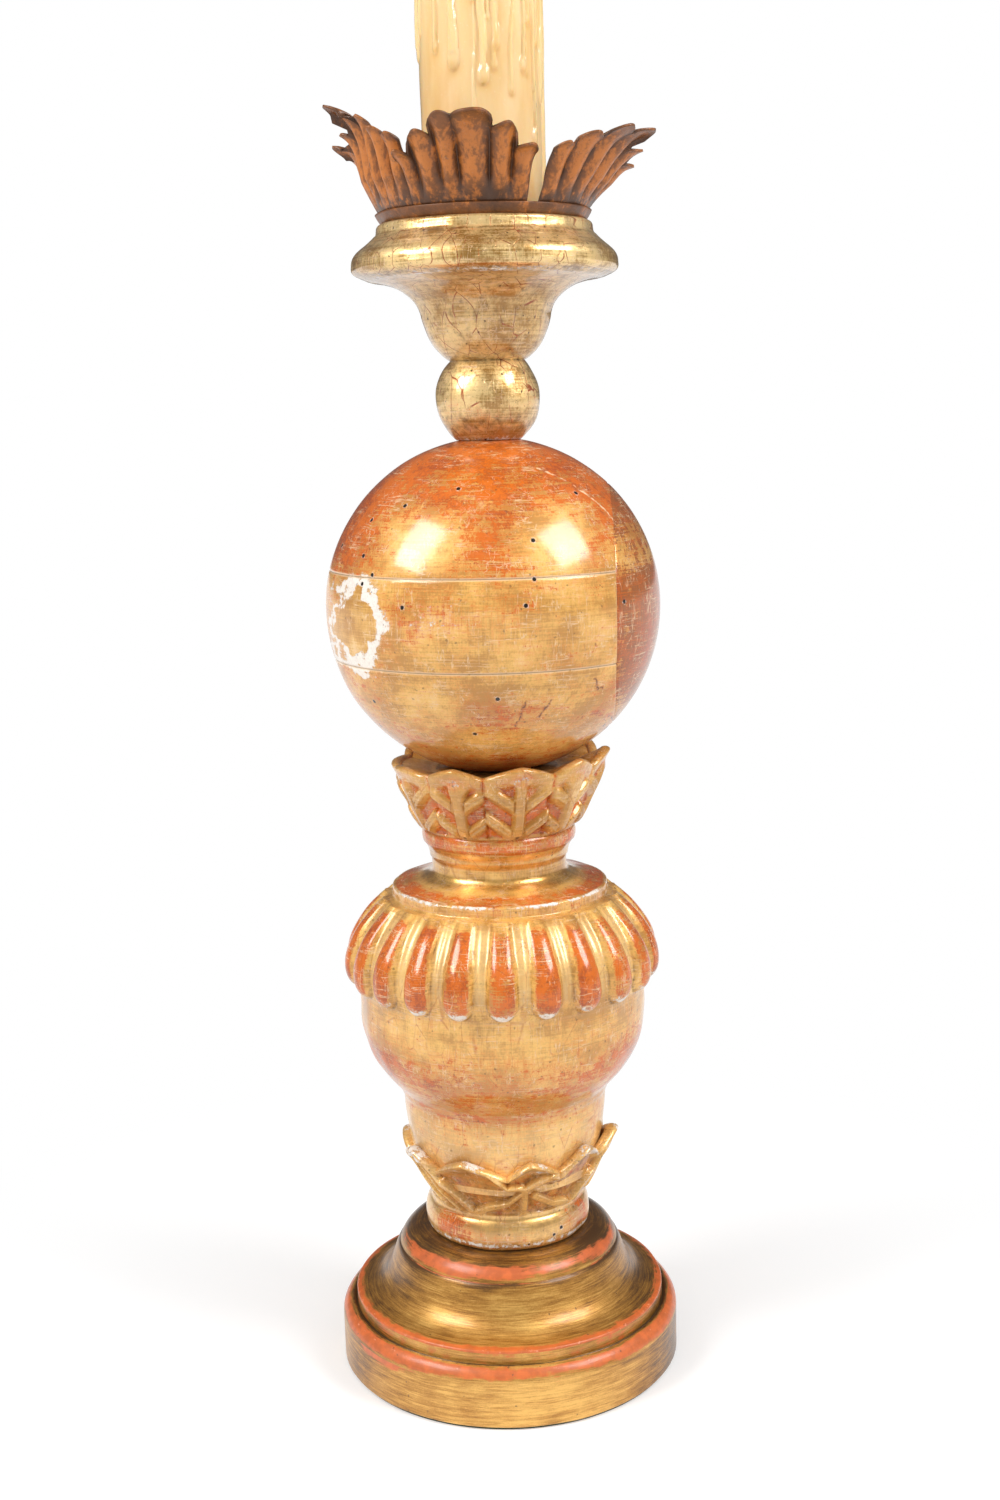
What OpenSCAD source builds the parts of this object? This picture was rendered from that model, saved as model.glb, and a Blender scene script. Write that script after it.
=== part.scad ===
// Giltwood altar candlestick: turned and carved sections stacked on an iron pricket rod,
// with a leaf-edged iron drip pan and a dripping candle. Millimetres, +Z up, standing on z = 0.

/* [Foot] */
// Diameter of the plinth
foot_d = 137; // [132:1:150]
// Height of the plinth, to the groove at its top
plinth_h = 23.5; // [18:0.5:30]
// Size of the rounding on the plinth's upper edge
plinth_round = 5.3; // [3:0.1:7]
// Diameter of the raised fillet that stands on the plinth
fillet_d = 125; // [118:0.5:128]
// Height of the fillet
fillet_h = 5; // [3:0.2:7]
// Height of the ogee dome above the fillet
dome_h = 25.7; // [22:0.1:32]
// Diameter of the dome's upper swell
dome_d = 91; // [86:1:98]
// Diameter of the flat on top of the foot
foot_flat_d = 66; // [65:0.5:76]
// Thickness of the baize disc glued under the foot
baize_t = 1; // [0.5:0.1:2]
// Depth of the nut recess under the foot
foot_recess_h = 16; // [14:0.5:22]

/* [Baluster] */
// Height of the round ring at the bottom
ring_h = 13.4; // [10:0.2:16]
// Diameter of the round ring
ring_d = 66.6; // [64:0.2:72]
// Diameter of the waist above the ring
waist_d = 61; // [58:0.5:63]
// Height of the lower leaf collar, waist to tips
collar_h = 26.7; // [21:0.1:32]
// Diameter over the tips of the lower leaf collar
collar_d = 88; // [85:0.5:94]
// Diameter of the straight stem above the collar
stem_d = 80.4; // [77:0.2:82]
// Height of the stem, waist to belly
stem_h = 42.8; // [39:0.2:49]
// Height of the belly, stem to gadroons
belly_h = 41.8; // [35:0.2:50]
// Diameter of the belly
belly_d = 112.8; // [106:0.2:116]
// Number of gadroons round the shoulder
gadroon_count = 22; // [18:1:26]
// Height of the gadroons
gadroon_h = 40; // [35:0.5:47]
// Diameter over the gadroons
gadroon_d = 124.8; // [122:0.2:132]
// Depth of the flutes between the gadroons
gadroon_depth = 4.6; // [3:0.1:5.5]
// Diameter of the shoulder disc
shoulder_d = 84.6; // [80:0.2:88]
// Thickness of the shoulder disc's edge
shoulder_t = 4.3; // [3.4:0.1:7]
// Height of the neck between shoulder and bead
neck_h = 17.2; // [14:0.2:22]
// Diameter of the neck
neck_d = 53; // [48:0.5:56]
// Height of the bead under the calyx
bead_h = 6; // [4:0.5:9]
// Diameter of the bead
bead_d = 60; // [57:0.5:64]
// Height of the calyx, bead to ball seat
calyx_h = 23.5; // [20:0.5:30]
// Diameter over the calyx leaf tips
calyx_d = 88; // [84:0.5:94]
// Number of leaves in each carved collar
leaf_count = 10; // [8:1:12]
// Turn of the carved leaves from the front, in degrees
leaf_turn = -6; // [-18:1:18]
// How far the calyx tips rise above the ball seat
calyx_rise = 6; // [4:0.5:8]

/* [Ball] */
// Diameter of the ball
ball_d = 128; // [116:1:140]
// Diameter of the flat that the ball stands on
ball_seat_d = 34; // [28:1:40]
// Diameter of the flat on top of the ball
ball_top_d = 22; // [18:1:25]
// Height of the lower glue seam above the seat
seam_low_h = 44; // [32:0.5:52]
// Height of the upper glue seam above the seat
seam_high_h = 77.5; // [64:0.5:90]
// Distance of the side block's glue face from the axis
cheek_x = 44.5; // [40:0.5:54]

/* [Cup] */
// Diameter of the knop
knop_d = 39.2; // [36:0.2:44]
// Diameter of the crease between knop and bowl
crease_d = 28.2; // [26:0.2:30]
// Height of the bowl, crease to soffit
bowl_h = 29.5; // [25:0.5:36]
// Diameter of the bowl where it starts to flare
bowl_d = 48.4; // [44:0.2:54]
// Diameter over the rim moulding
rim_d = 98.8; // [94:0.2:106]
// Height of the rim moulding
rim_h = 20; // [17:0.5:24]
// Diameter of the cup's upper fillet
lip_d = 80.4; // [78:0.2:84]
// Depth of the nut recess in the top of the cup
cup_recess_h = 13; // [11:0.5:16]

/* [Rod] */
// Diameter of the iron rod
rod_d = 10; // [8:0.5:12]
// Length of the pricket's taper
spike_h = 46; // [38:1:52]
// Diameter of the pricket's blunt tip
spike_tip_d = 1.6; // [1:0.1:3]
// Width of the nuts across their flats
nut_af = 17; // [16:0.5:19]
// Thickness of the nuts
nut_h = 8; // [6:0.5:8.5]
// Diameter of the washers
washer_d = 30; // [24:1:32]
// Thickness of the washers
washer_t = 2; // [1:0.1:2.5]

/* [Drip pan] */
// Diameter of the pan's flat bottom
pan_flat_d = 75; // [72:0.5:77]
// Diameter of the pan's rim
pan_rim_d = 80; // [78:0.5:86]
// Height of the pan's rim
pan_rim_h = 4; // [3:0.5:7]
// Thickness of the sheet iron
sheet_t = 0.9; // [0.6:0.1:1.4]
// Width of each leaf, round the rim
leaf_w = 43.8; // [38:0.2:45]
// Length of a leaf, rim to tip; each leaf takes a share of it
leaf_l = 40; // [32:0.5:46]
// Number of lobes along a leaf's edge
lobe_count = 7; // [5:2:9]
// Depth of the ribs that stiffen a leaf
rib_depth = 1.6; // [0.8:0.1:2]

/* [Candle] */
// Diameter of the candle
candle_d = 44.4; // [38:0.2:50]
// Height of the candle
candle_h = 150; // [110:1:220]
// Diameter of the wick
wick_d = 2; // [1.5:0.1:3]
// Height of the wick above the candle
wick_h = 9; // [6:0.5:14]

/* [Hidden] */
$fn = 96;

// Clearances and small fillets
bore_clear = 0.25;
thread_clear = 0.08;
spike_clear = 0.3;
wick_clear = 0.08;
solder_gap = 0.3;
recess_clear = 2;
thread_end = 2.5;
edge_round = 1.6;
cut = 1;

// Radii of the rod and of what it passes through
rod_r = rod_d / 2;
bore_r = rod_r + bore_clear;
recess_r = washer_d / 2 + recess_clear;

// Heights of the sections, from the table up
z_foot = baize_t;
z_plinth = z_foot + plinth_h;
z_fillet = z_plinth + fillet_h;
z_baluster = z_fillet + dome_h;
z_waist = z_baluster + ring_h;
z_collar_tip = z_waist + collar_h;
z_stem = z_waist + stem_h;
z_belly = z_stem + belly_h;
z_gadroon = z_belly + gadroon_h;
z_shoulder = z_gadroon + shoulder_t;
z_bead = z_shoulder + neck_h;
z_calyx = z_bead + bead_h;
z_seat = z_calyx + calyx_h;
ball_r = ball_d / 2;
z_ball = z_seat + sqrt(pow(ball_r, 2) - pow(ball_seat_d / 2, 2));
z_cup = z_ball + sqrt(pow(ball_r, 2) - pow(ball_top_d / 2, 2));
knop_r = knop_d / 2;
z_knop = z_cup + sqrt(pow(knop_r, 2) - pow(ball_top_d / 2 + cut, 2));
z_crease = z_knop + sqrt(pow(knop_r, 2) - pow(crease_d / 2, 2));
z_soffit = z_crease + bowl_h;
z_cup_top = z_soffit + rim_h;
z_pan = z_cup_top;
z_candle = z_pan + sheet_t;
z_candle_top = z_candle + candle_h;
z_foot_recess = z_foot + foot_recess_h;
z_cup_recess = z_cup_top - cup_recess_h;
z_spike = z_candle + cut;
z_spike_tip = z_spike + spike_h;

// Curves
function bezier(a, b, c, d, steps) = [
    for (i = [0:steps]) let (t = i / steps)
        pow(1 - t, 3) * a + 3 * t * pow(1 - t, 2) * b + 3 * t * t * (1 - t) * c + pow(t, 3) * d
];
function arc(centre, radius, from, to, steps) = [
    for (i = [0:steps]) let (a = from + (to - from) * i / steps)
        centre + radius * [cos(a), sin(a)]
];

// A closed skin over a ring of closed outlines, each a list of points
module ring_skin(outlines) {
    n = len(outlines);
    m = len(outlines[0]);
    faces = [
        for (j = [0:n - 1], i = [0:m - 1])
            let (k = (j + 1) % n, l = (i + 1) % m)
                each [[j * m + i, j * m + l, k * m + l], [j * m + i, k * m + l, k * m + i]]
    ];
    polyhedron([for (outline = outlines) each outline], faces, convexity = 10);
}

// A closed skin over a row of outlines with flat ends: each outline runs up one side and down the other
module strip_skin(outlines) {
    n = len(outlines);
    m = len(outlines[0]);
    sides = [
        for (j = [0:n - 2], i = [0:m - 1])
            let (l = (i + 1) % m)
                each [[j * m + i, j * m + l, (j + 1) * m + l], [j * m + i, (j + 1) * m + l, (j + 1) * m + i]]
    ];
    last = (n - 1) * m;
    ends = [
        for (i = [0:m / 2 - 2])
            let (o = m - 1 - i)
                each [
                    [i, o, i + 1], [i + 1, o, o - 1],
                    [last + i, last + i + 1, last + o], [last + i + 1, last + o - 1, last + o]
                ]
    ];
    polyhedron([for (outline = outlines) each outline], concat(sides, ends), convexity = 10);
}

function turned(radius, angle, z) = [radius * cos(angle), radius * sin(angle), z];

// Foot: plinth, quirk, fillet and ogee dome
fillet_r = fillet_d / 2;
dome_r = dome_d / 2;
foot_r = foot_d / 2;
quirk = 0.5;
dome_shelf = 2.6;
foot_outline = concat(
    [[0, z_foot], [foot_r - edge_round / 2, z_foot], [foot_r, z_foot + edge_round / 2]],
    bezier(
        [foot_r, z_plinth - plinth_round],
        [foot_r, z_plinth - 0.5 * plinth_round],
        [foot_r - 0.4 * (foot_r - fillet_r), z_plinth],
        [fillet_r + 3 * quirk, z_plinth], 7),
    [[fillet_r + quirk, z_plinth - 2 * quirk], [fillet_r, z_plinth - quirk]],
    arc([fillet_r - edge_round / 2, z_fillet - edge_round / 2], edge_round / 2, 0, 70, 3),
    bezier(
        [fillet_r - dome_shelf, z_fillet + 0.02 * dome_h],
        [dome_r + 1.7, z_fillet + 0.03 * dome_h],
        [dome_r + 1.6, z_fillet + 0.64 * dome_h],
        [dome_r - 1.4, z_fillet + 0.70 * dome_h], 16),
    bezier(
        [dome_r - 1.6, z_fillet + 0.72 * dome_h],
        [dome_r - 3, z_fillet + 0.90 * dome_h],
        [foot_flat_d / 2 + 0.4 * (dome_r - foot_flat_d / 2), z_baluster],
        [foot_flat_d / 2, z_baluster], 9),
    [[0, z_baluster]]
);

module rod_bore(from, to) {
    translate([0, 0, from]) cylinder(r = bore_r, h = to - from);
}

module foot() {
    color("#9a7a35") difference() {
        rotate_extrude() polygon(foot_outline);
        rod_bore(z_foot - cut, z_baluster + cut);
        translate([0, 0, z_foot - cut]) cylinder(r = recess_r, h = foot_recess_h + cut);
    }
}

module baize_disc() {
    color("#3c4a34") cylinder(r = foot_r - edge_round, h = baize_t);
}

// Baluster: the turned core, then three carved rings that stand on it
waist_r = waist_d / 2;
stem_r = stem_d / 2;
belly_r = belly_d / 2;
shoulder_r = shoulder_d / 2;
neck_r = neck_d / 2;
bead_r = bead_d / 2;
seat_r = ball_seat_d / 2 + 6;
gadroon_top_r = shoulder_r + 4;
core_outline = concat(
    [[0, z_baluster], [ring_d / 2 - 2.4, z_baluster]],
    bezier(
        [ring_d / 2 - 1.6, z_baluster + 0.4],
        [ring_d / 2 + 0.7, z_baluster + 0.22 * ring_h],
        [ring_d / 2 + 0.7, z_baluster + 0.70 * ring_h],
        [waist_r + 0.3, z_waist - 0.8], 8),
    [[waist_r, z_waist]],
    bezier(
        [waist_r + 0.4, z_waist + 1.5],
        [waist_r + 4, z_waist + 0.30 * stem_h],
        [stem_r - 1.6, z_waist + 0.50 * stem_h],
        [stem_r - 0.6, z_waist + 0.75 * stem_h], 8),
    [[stem_r, z_stem - 5]],
    bezier(
        [stem_r + 0.1, z_stem - 2],
        [stem_r + 0.2, z_stem],
        [stem_r + 0.6, z_stem + 1],
        [stem_r + 1.1, z_stem + 1.7], 3),
    bezier(
        [stem_r + 1.4, z_stem + 2.4],
        [stem_r + 0.12 * (belly_r - stem_r), z_stem + 0.18 * belly_h],
        [belly_r, z_stem + 0.32 * belly_h],
        [belly_r, z_stem + 0.87 * belly_h], 14),
    [[belly_r, z_belly + 0.10 * gadroon_h]],
    bezier(
        [belly_r - 0.4, z_belly + 0.14 * gadroon_h],
        [belly_r, z_belly + 0.50 * gadroon_h],
        [gadroon_top_r + 4, z_gadroon - 0.18 * gadroon_h],
        [gadroon_top_r - 3, z_gadroon - 1], 10),
    [[shoulder_r - 0.5, z_gadroon], [shoulder_r, z_gadroon + 0.4], [shoulder_r, z_shoulder - 0.5]],
    [[shoulder_r - 0.5, z_shoulder]],
    bezier(
        [neck_r + 0.55 * (shoulder_r - neck_r), z_shoulder + 1.6],
        [neck_r + 0.15 * (shoulder_r - neck_r), z_shoulder + 2.8],
        [neck_r, z_shoulder + 4],
        [neck_r, z_shoulder + 0.42 * neck_h], 8),
    [[neck_r, z_bead - 0.36 * neck_h], [neck_r + 0.6, z_bead - 0.33 * neck_h]],
    bezier(
        [neck_r + 0.7, z_bead - 0.30 * neck_h],
        [neck_r + 0.8, z_bead - 0.12 * neck_h],
        [bead_r - 1.4, z_bead - 0.06 * neck_h],
        [bead_r - 0.7, z_bead], 5),
    bezier(
        [bead_r - 0.3, z_bead + 0.3],
        [bead_r + 0.4, z_bead + 0.35 * bead_h],
        [bead_r + 0.2, z_bead + 0.75 * bead_h],
        [bead_r - 0.6, z_calyx], 5),
    [[seat_r + 2, z_calyx + 2], [seat_r, z_calyx + 4], [seat_r, z_seat], [0, z_seat]]
);

// How high a gadroon stands across its width: a half round that leaves a shallow flute on either side
lobe_share = 0.29;
function flute(u) = -0.12 * pow(sin(180 * (abs(u) - lobe_share) / (1 - 2 * lobe_share)), 2);
function lobe(u) = abs(u) < lobe_share ? sqrt(1 - pow(u / lobe_share, 2)) : flute(u);

gadroon_steps = 8;
gadroon_r = gadroon_d / 2;
z_swell = z_belly + 0.31 * gadroon_h;
gadroon_flow = concat(
    bezier(
        [belly_r - 0.6, z_belly - 0.4],
        [belly_r + 0.27 * (gadroon_r - belly_r), z_belly + 0.07 * gadroon_h],
        [gadroon_r, z_belly + 0.15 * gadroon_h],
        [gadroon_r, z_swell], 5),
    bezier(
        [gadroon_r - 0.05, z_swell + 0.08 * gadroon_h],
        [gadroon_r - 0.4, z_swell + 0.24 * gadroon_h],
        [0.65 * gadroon_r + 0.35 * gadroon_top_r, z_gadroon - 0.22 * gadroon_h],
        [gadroon_top_r, z_gadroon - 0.2], 7)
);

// A point on the gadroons: i along the flow from the belly up, u across one gadroon from -0.5 to 0.5
function gadroon_point(i, angle, u) =
    let (
        along = i / (len(gadroon_flow) - 1),
        depth = gadroon_depth * min(1, 6 * along) * (1 - 0.72 * along),
        sink = depth * (1 - lobe(u)),
        p = gadroon_flow[i]
    ) turned(p[0] - sink * (1 - 0.3 * along), angle, p[1] - 0.4 * sink * along);

module gadroon_ring() {
    inner_r = belly_r - 14;
    ring_skin([
        for (g = [0:gadroon_count - 1], k = [0:gadroon_steps - 1])
            let (
                u = k / gadroon_steps - 0.5,
                angle = -90 + (g + u) * 360 / gadroon_count
            ) concat(
                [turned(inner_r, angle, z_belly + 0.2 * gadroon_h)],
                [for (i = [0:len(gadroon_flow) - 1]) gadroon_point(i, angle, u)],
                [turned(gadroon_top_r - 10, angle, z_gadroon - 6)]
            )
    ]);
}

// One carved leaf across its width: a midrib, hollow sides and a groove against the next leaf
leaf_steps = 12;
function leaf_relief(u) =
    0.9 * max(0, 1 - abs(u) / 0.16) - 1.5 * pow(abs(u), 6) - 0.5 * pow(sin(180 * abs(u)), 2);
function leaf_edge(u) = pow(abs(u), 1.6);

// A collar of carved leaves that flare from low_r at z_low to tip_r at z_tip.
// wall is their thickness at the edge, floor_r and z_floor where the hollow behind them ends
module carved_collar(low_r, z_low, tip_r, z_tip, swell, notch, wall, root_r, floor_r, z_floor) {
    rows = 7;
    ring_skin([
        for (g = [0:leaf_count - 1], k = [0:leaf_steps - 1])
            let (
                u = 2 * k / leaf_steps - 1,
                angle = -90 + leaf_turn + (g + 0.5 + u / 2) * 360 / leaf_count,
                top = z_tip - notch * leaf_edge(u),
                edge_r = tip_r - 2.2 * leaf_edge(u)
            ) concat(
                [turned(root_r, angle, z_low - 1.5)],
                [
                    for (i = [0:rows])
                        let (
                            v = i / rows,
                            flare = (edge_r - low_r) * pow(v, swell),
                            relief = leaf_relief(u) * sin(150 * v)
                        ) turned(low_r + flare + relief, angle, z_low + (top - z_low) * v)
                ],
                [
                    turned(edge_r - wall, angle, top - 0.4),
                    turned(floor_r, angle, z_floor),
                    turned(root_r, angle, z_floor - 2)
                ]
            )
    ]);
}

module lower_collar() {
    carved_collar(
        low_r = waist_r + 0.2, z_low = z_waist + 0.6, tip_r = collar_d / 2, z_tip = z_collar_tip,
        swell = 0.8, notch = 6, wall = 2.4, root_r = waist_r - 6,
        floor_r = stem_r - 4.4, z_floor = z_collar_tip - 15
    );
}
module calyx() {
    carved_collar(
        low_r = bead_r - 0.4, z_low = z_calyx - 0.6, tip_r = calyx_d / 2, z_tip = z_seat + calyx_rise,
        swell = 0.76, notch = 4.2, wall = 3, root_r = seat_r - 2,
        floor_r = seat_r + 2.5, z_floor = z_seat - 1.5
    );
}

module baluster() {
    color("#c9983f") difference() {
        union() {
            rotate_extrude() polygon(core_outline);
            lower_collar();
            gadroon_ring();
            calyx();
        }
        rod_bore(z_baluster - cut, z_seat + cut);
    }
}

// Ball: three layers and a side block, glued up and turned as one
ball_box = ball_d + 2 * cut;
layer_steps = 12;
function ball_height(z) = asin((z - z_ball) / ball_r);
module ball_layer(from, to) {
    difference() {
        rotate_extrude() polygon(concat(
            [[bore_r, from]],
            arc([0, z_ball], ball_r, ball_height(from), ball_height(to), layer_steps),
            [[bore_r, to]]
        ));
        translate([cheek_x, -ball_box / 2, from - cut]) cube([ball_box, ball_box, to - from + 2 * cut]);
    }
}
z_seam_low = z_seat + seam_low_h;
z_seam_high = z_seat + seam_high_h;
module ball_lower_block() {
    color("#c8934a") ball_layer(z_seat, z_seam_low);
}
module ball_middle_block() {
    color("#d0a050") ball_layer(z_seam_low, z_seam_high);
}
module ball_upper_block() {
    color("#c97a35") ball_layer(z_seam_high, z_cup);
}
module ball_side_block() {
    color("#b0623a") intersection() {
        translate([0, 0, z_ball]) sphere(r = ball_r);
        translate([cheek_x, -ball_box / 2, z_ball - ball_box / 2]) cube(ball_box);
    }
}

// Cup: knop, bowl, soffit and rim moulding
bowl_r = bowl_d / 2;
crease_r = crease_d / 2;
rim_r = rim_d / 2;
lip_r = lip_d / 2;
knop_start = -acos((ball_top_d / 2 + cut) / knop_r);
knop_end = acos(crease_r / knop_r);
cup_outline = concat(
    [[0, z_cup]],
    arc([0, z_knop], knop_r, knop_start, knop_end, 20),
    bezier(
        [crease_r + 0.4, z_crease + 0.3],
        [crease_r + 0.42 * (bowl_r - crease_r), z_crease + 0.08 * bowl_h],
        [bowl_r - 1.2, z_crease + 0.30 * bowl_h],
        [bowl_r, z_crease + 0.54 * bowl_h], 9),
    bezier(
        [bowl_r + 0.1, z_crease + 0.56 * bowl_h],
        [bowl_r + 0.8, z_crease + 0.70 * bowl_h],
        [bowl_r + 0.15 * (rim_r - bowl_r), z_crease + 0.92 * bowl_h],
        [rim_r - 7.4, z_soffit], 10),
    [[rim_r - 4.6, z_soffit + 0.6], [rim_r - 2.6, z_soffit + 1.4]],
    bezier(
        [rim_r - 1.4, z_soffit + 2],
        [rim_r, z_soffit + 2.8],
        [rim_r + 0.2, z_soffit + 4],
        [rim_r, z_soffit + 0.27 * rim_h], 4),
    bezier(
        [rim_r, z_soffit + 0.29 * rim_h],
        [rim_r, z_soffit + 0.50 * rim_h],
        [lip_r + 4.4, z_soffit + 0.58 * rim_h],
        [lip_r + 1.2, z_soffit + 0.76 * rim_h], 9),
    [[lip_r + 0.2, z_soffit + 0.82 * rim_h]],
    arc([lip_r - edge_round, z_cup_top - edge_round], edge_round, 0, 90, 5),
    [[0, z_cup_top]]
);

module cup() {
    color("#c2a052") difference() {
        rotate_extrude() polygon(cup_outline);
        rod_bore(z_cup - cut, z_cup_top + cut);
        translate([0, 0, z_cup_recess]) cylinder(r = recess_r, h = cup_recess_h + cut);
    }
}

// Iron work: one rod from the foot's nut to the pricket's tip
module pricket_rod() {
    bottom = z_foot_recess - washer_t - nut_h - thread_end;
    color("#4b4642") union() {
        translate([0, 0, bottom]) cylinder(r = rod_r, h = z_spike - bottom);
        translate([0, 0, z_spike]) cylinder(r1 = rod_r, r2 = spike_tip_d / 2, h = spike_h);
    }
}
module washer(z) {
    color("#6d675f") translate([0, 0, z]) difference() {
        cylinder(r = washer_d / 2, h = washer_t);
        translate([0, 0, -cut]) cylinder(r = bore_r, h = washer_t + 2 * cut);
    }
}
module nut(z) {
    color("#5d5750") translate([0, 0, z]) difference() {
        cylinder(r = nut_af / 2 / cos(30), h = nut_h, $fn = 6);
        translate([0, 0, -cut]) cylinder(r = rod_r + thread_clear, h = nut_h + 2 * cut);
    }
}
module foot_washer() washer(z_foot_recess - washer_t);
module foot_nut() nut(z_foot_recess - washer_t - nut_h);
module cup_washer() washer(z_cup_recess);
module cup_nut() nut(z_cup_recess + washer_t);

// Drip pan: a dished iron plate with four cut and ribbed leaves soldered inside its rim
pan_rim_r = pan_rim_d / 2;
module pan_dish() {
    hole_r = rod_r + spike_clear;
    color("#7a4526") rotate_extrude() polygon([
        [hole_r, z_pan], [pan_flat_d / 2, z_pan], [pan_rim_r, z_pan + pan_rim_h],
        [pan_rim_r - sheet_t, z_pan + pan_rim_h], [pan_flat_d / 2 - 0.6 * sheet_t, z_pan + sheet_t],
        [hole_r, z_pan + sheet_t]
    ]);
}

// Leaves: a tab runs up the inside of the rim, then the leaf leans out above it
leaf_rows = 8;
leaf_columns = 4 * lobe_count;
leaf_tilt = 30;
leaf_half_angle = leaf_w / 2 / pan_rim_r * 180 / PI;
leaf_root_r = pan_rim_r - sheet_t - solder_gap;
z_leaf_root = z_pan + pan_rim_h;
tab_share = 0.4;
tab_r = leaf_root_r - tab_share * (pan_rim_d - pan_flat_d) / 2;
z_tab = z_leaf_root - tab_share * (pan_rim_h - sheet_t);

// The edge of a leaf: longest in the middle, one scallop to each lobe
function leaf_reach(u) = (1 - 0.43 * pow(abs(u), 1.36)) * (0.90 + 0.10 * sqrt(abs(cos(90 * lobe_count * u))));

// A point on a leaf: u across from -1 to 1, v along from the rim at 0 to the edge at 1.
// lean bends the leaf out and curl turns the ends of its lobes, both in degrees
function leaf_point(u, v, angle, length, lean, curl, inset) =
    let (
        s = leaf_reach(u) * v,
        rib = rib_depth * cos(180 * lobe_count * u) * min(1, 6 * s * s),
        tilt = leaf_tilt + lean * sqrt(s) + curl * pow(v, 6),
        out = s * length * sin(tilt) + rib - inset * cos(tilt),
        up = s * length * cos(tilt) + inset * sin(tilt)
    ) turned(leaf_root_r + out, angle + u * leaf_half_angle, z_leaf_root + up);

// A leaf at an angle round the rim: outer face up from its tab to its edge, then inner face down again
module pan_leaf(angle, length, lean, curl) {
    color("#8a5428") strip_skin([
        for (k = [0:leaf_columns])
            let (u = 2 * k / leaf_columns - 1, tab_angle = angle + u * leaf_half_angle) [
                turned(tab_r, tab_angle, z_tab),
                for (i = [0:leaf_rows])
                    leaf_point(u, i / leaf_rows, angle, length, lean, curl, 0),
                for (i = [leaf_rows:-1:0])
                    leaf_point(u, i / leaf_rows, angle, length, lean, curl, sheet_t),
                turned(tab_r - sheet_t, tab_angle, z_tab)
            ]
    ]);
}
module leaf_front() pan_leaf(angle = -98, length = 0.855 * leaf_l, lean = -2, curl = 1.5);
module leaf_right() pan_leaf(angle = -28, length = 0.90 * leaf_l, lean = 14, curl = 6.5);
module leaf_back() pan_leaf(angle = 92, length = 0.90 * leaf_l, lean = -2, curl = 3);
module leaf_left() pan_leaf(angle = -164, length = 1.045 * leaf_l, lean = -9, curl = 9);

// Candle: drips are given as [angle, height of the end above the pan, width of the run, width of the drop]
candle_r = candle_d / 2;
candle_drips = [
    [-180, 62, 4.0, 5.0], [-134, 60, 3.4, 4.6], [-112, 57, 5.4, 7.0], [-85, 51, 4.6, 6.2],
    [-62, 46, 3.2, 4.4], [-39, 56, 3.6, 4.8], [-12, 32, 4.0, 5.6], [-29, 10, 4.4, 6.4],
    [14, 66, 3.6, 5.0], [34, 40, 4.2, 5.8], [58, 72, 3.4, 4.6], [80, 52, 4.8, 6.4],
    [104, 30, 3.8, 5.2], [128, 64, 4.4, 6.0], [152, 44, 3.4, 4.8]
];
drip_sink = 0.9;
drip_top = 4.5;
candle_rim = 2.2;
pool_depth = 5.2;
wick_bore_r = wick_d / 2 + wick_clear;
candle_outline = concat(
    [[rod_r + spike_clear, z_candle], [candle_r, z_candle]],
    arc([candle_r - candle_rim, z_candle_top - candle_rim], candle_rim, 0, 120, 6),
    bezier(
        [0.80 * candle_r, z_candle_top - 1.6], [0.62 * candle_r, z_candle_top - pool_depth],
        [0.30 * candle_r, z_candle_top - pool_depth], [wick_bore_r, z_candle_top - pool_depth], 6),
    [
        [wick_bore_r, z_spike_tip + 1.5], [spike_tip_d / 2 + spike_clear, z_spike_tip + 0.6],
        [rod_r + spike_clear, z_spike]
    ]
);
module candle() {
    color("#ecd09a") union() {
        rotate_extrude() polygon(candle_outline);
        for (d = candle_drips)
            rotate(d[0]) translate([candle_r - drip_sink, 0, z_candle + d[1]]) {
                sphere(d = d[3]);
                cylinder(d = d[2], h = candle_h - d[1] - drip_top);
            }
    }
}
module wick() {
    start = z_spike_tip + 3;
    color("#2e2722") translate([0, 0, start]) cylinder(d = wick_d, h = z_candle_top + wick_h - start);
}

baize_disc();
foot();
baluster();
ball_lower_block();
ball_middle_block();
ball_upper_block();
ball_side_block();
cup();
pricket_rod();
foot_washer();
foot_nut();
cup_washer();
cup_nut();
pan_dish();
leaf_front();
leaf_right();
leaf_back();
leaf_left();
candle();
wick();
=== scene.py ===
"""The looks of a worn giltwood altar candlestick: foot, baluster, glued-up ball, cup, drip pan and candle.

Shapes are worked out in millimetres as grids of points and scaled to metres when a mesh is made.
Every piece stands on the axis x = y = 0 with +Z up; the viewer of the photograph looks along +Y.
"""

import math
from types import SimpleNamespace

import bmesh
import bpy
import numpy as np
from mathutils import Matrix, Vector


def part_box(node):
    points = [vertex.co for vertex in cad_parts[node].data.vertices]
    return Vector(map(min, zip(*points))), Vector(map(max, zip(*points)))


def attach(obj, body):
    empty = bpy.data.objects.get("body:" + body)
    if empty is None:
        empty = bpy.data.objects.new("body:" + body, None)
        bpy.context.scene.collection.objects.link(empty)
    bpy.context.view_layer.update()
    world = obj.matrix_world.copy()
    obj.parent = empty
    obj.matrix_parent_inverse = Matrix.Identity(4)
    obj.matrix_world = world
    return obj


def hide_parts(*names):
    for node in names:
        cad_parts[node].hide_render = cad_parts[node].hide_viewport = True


bl_info = {
    "name": "Altar candlestick",
    "version": (1, 0, 0),
    "blender": (4, 5, 0),
    "location": "3D View > Sidebar > Candlestick",
    "description": "Builds the carved and gilded pieces of an altar candlestick over its solid parts",
    "category": "Add Mesh",
}

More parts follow.
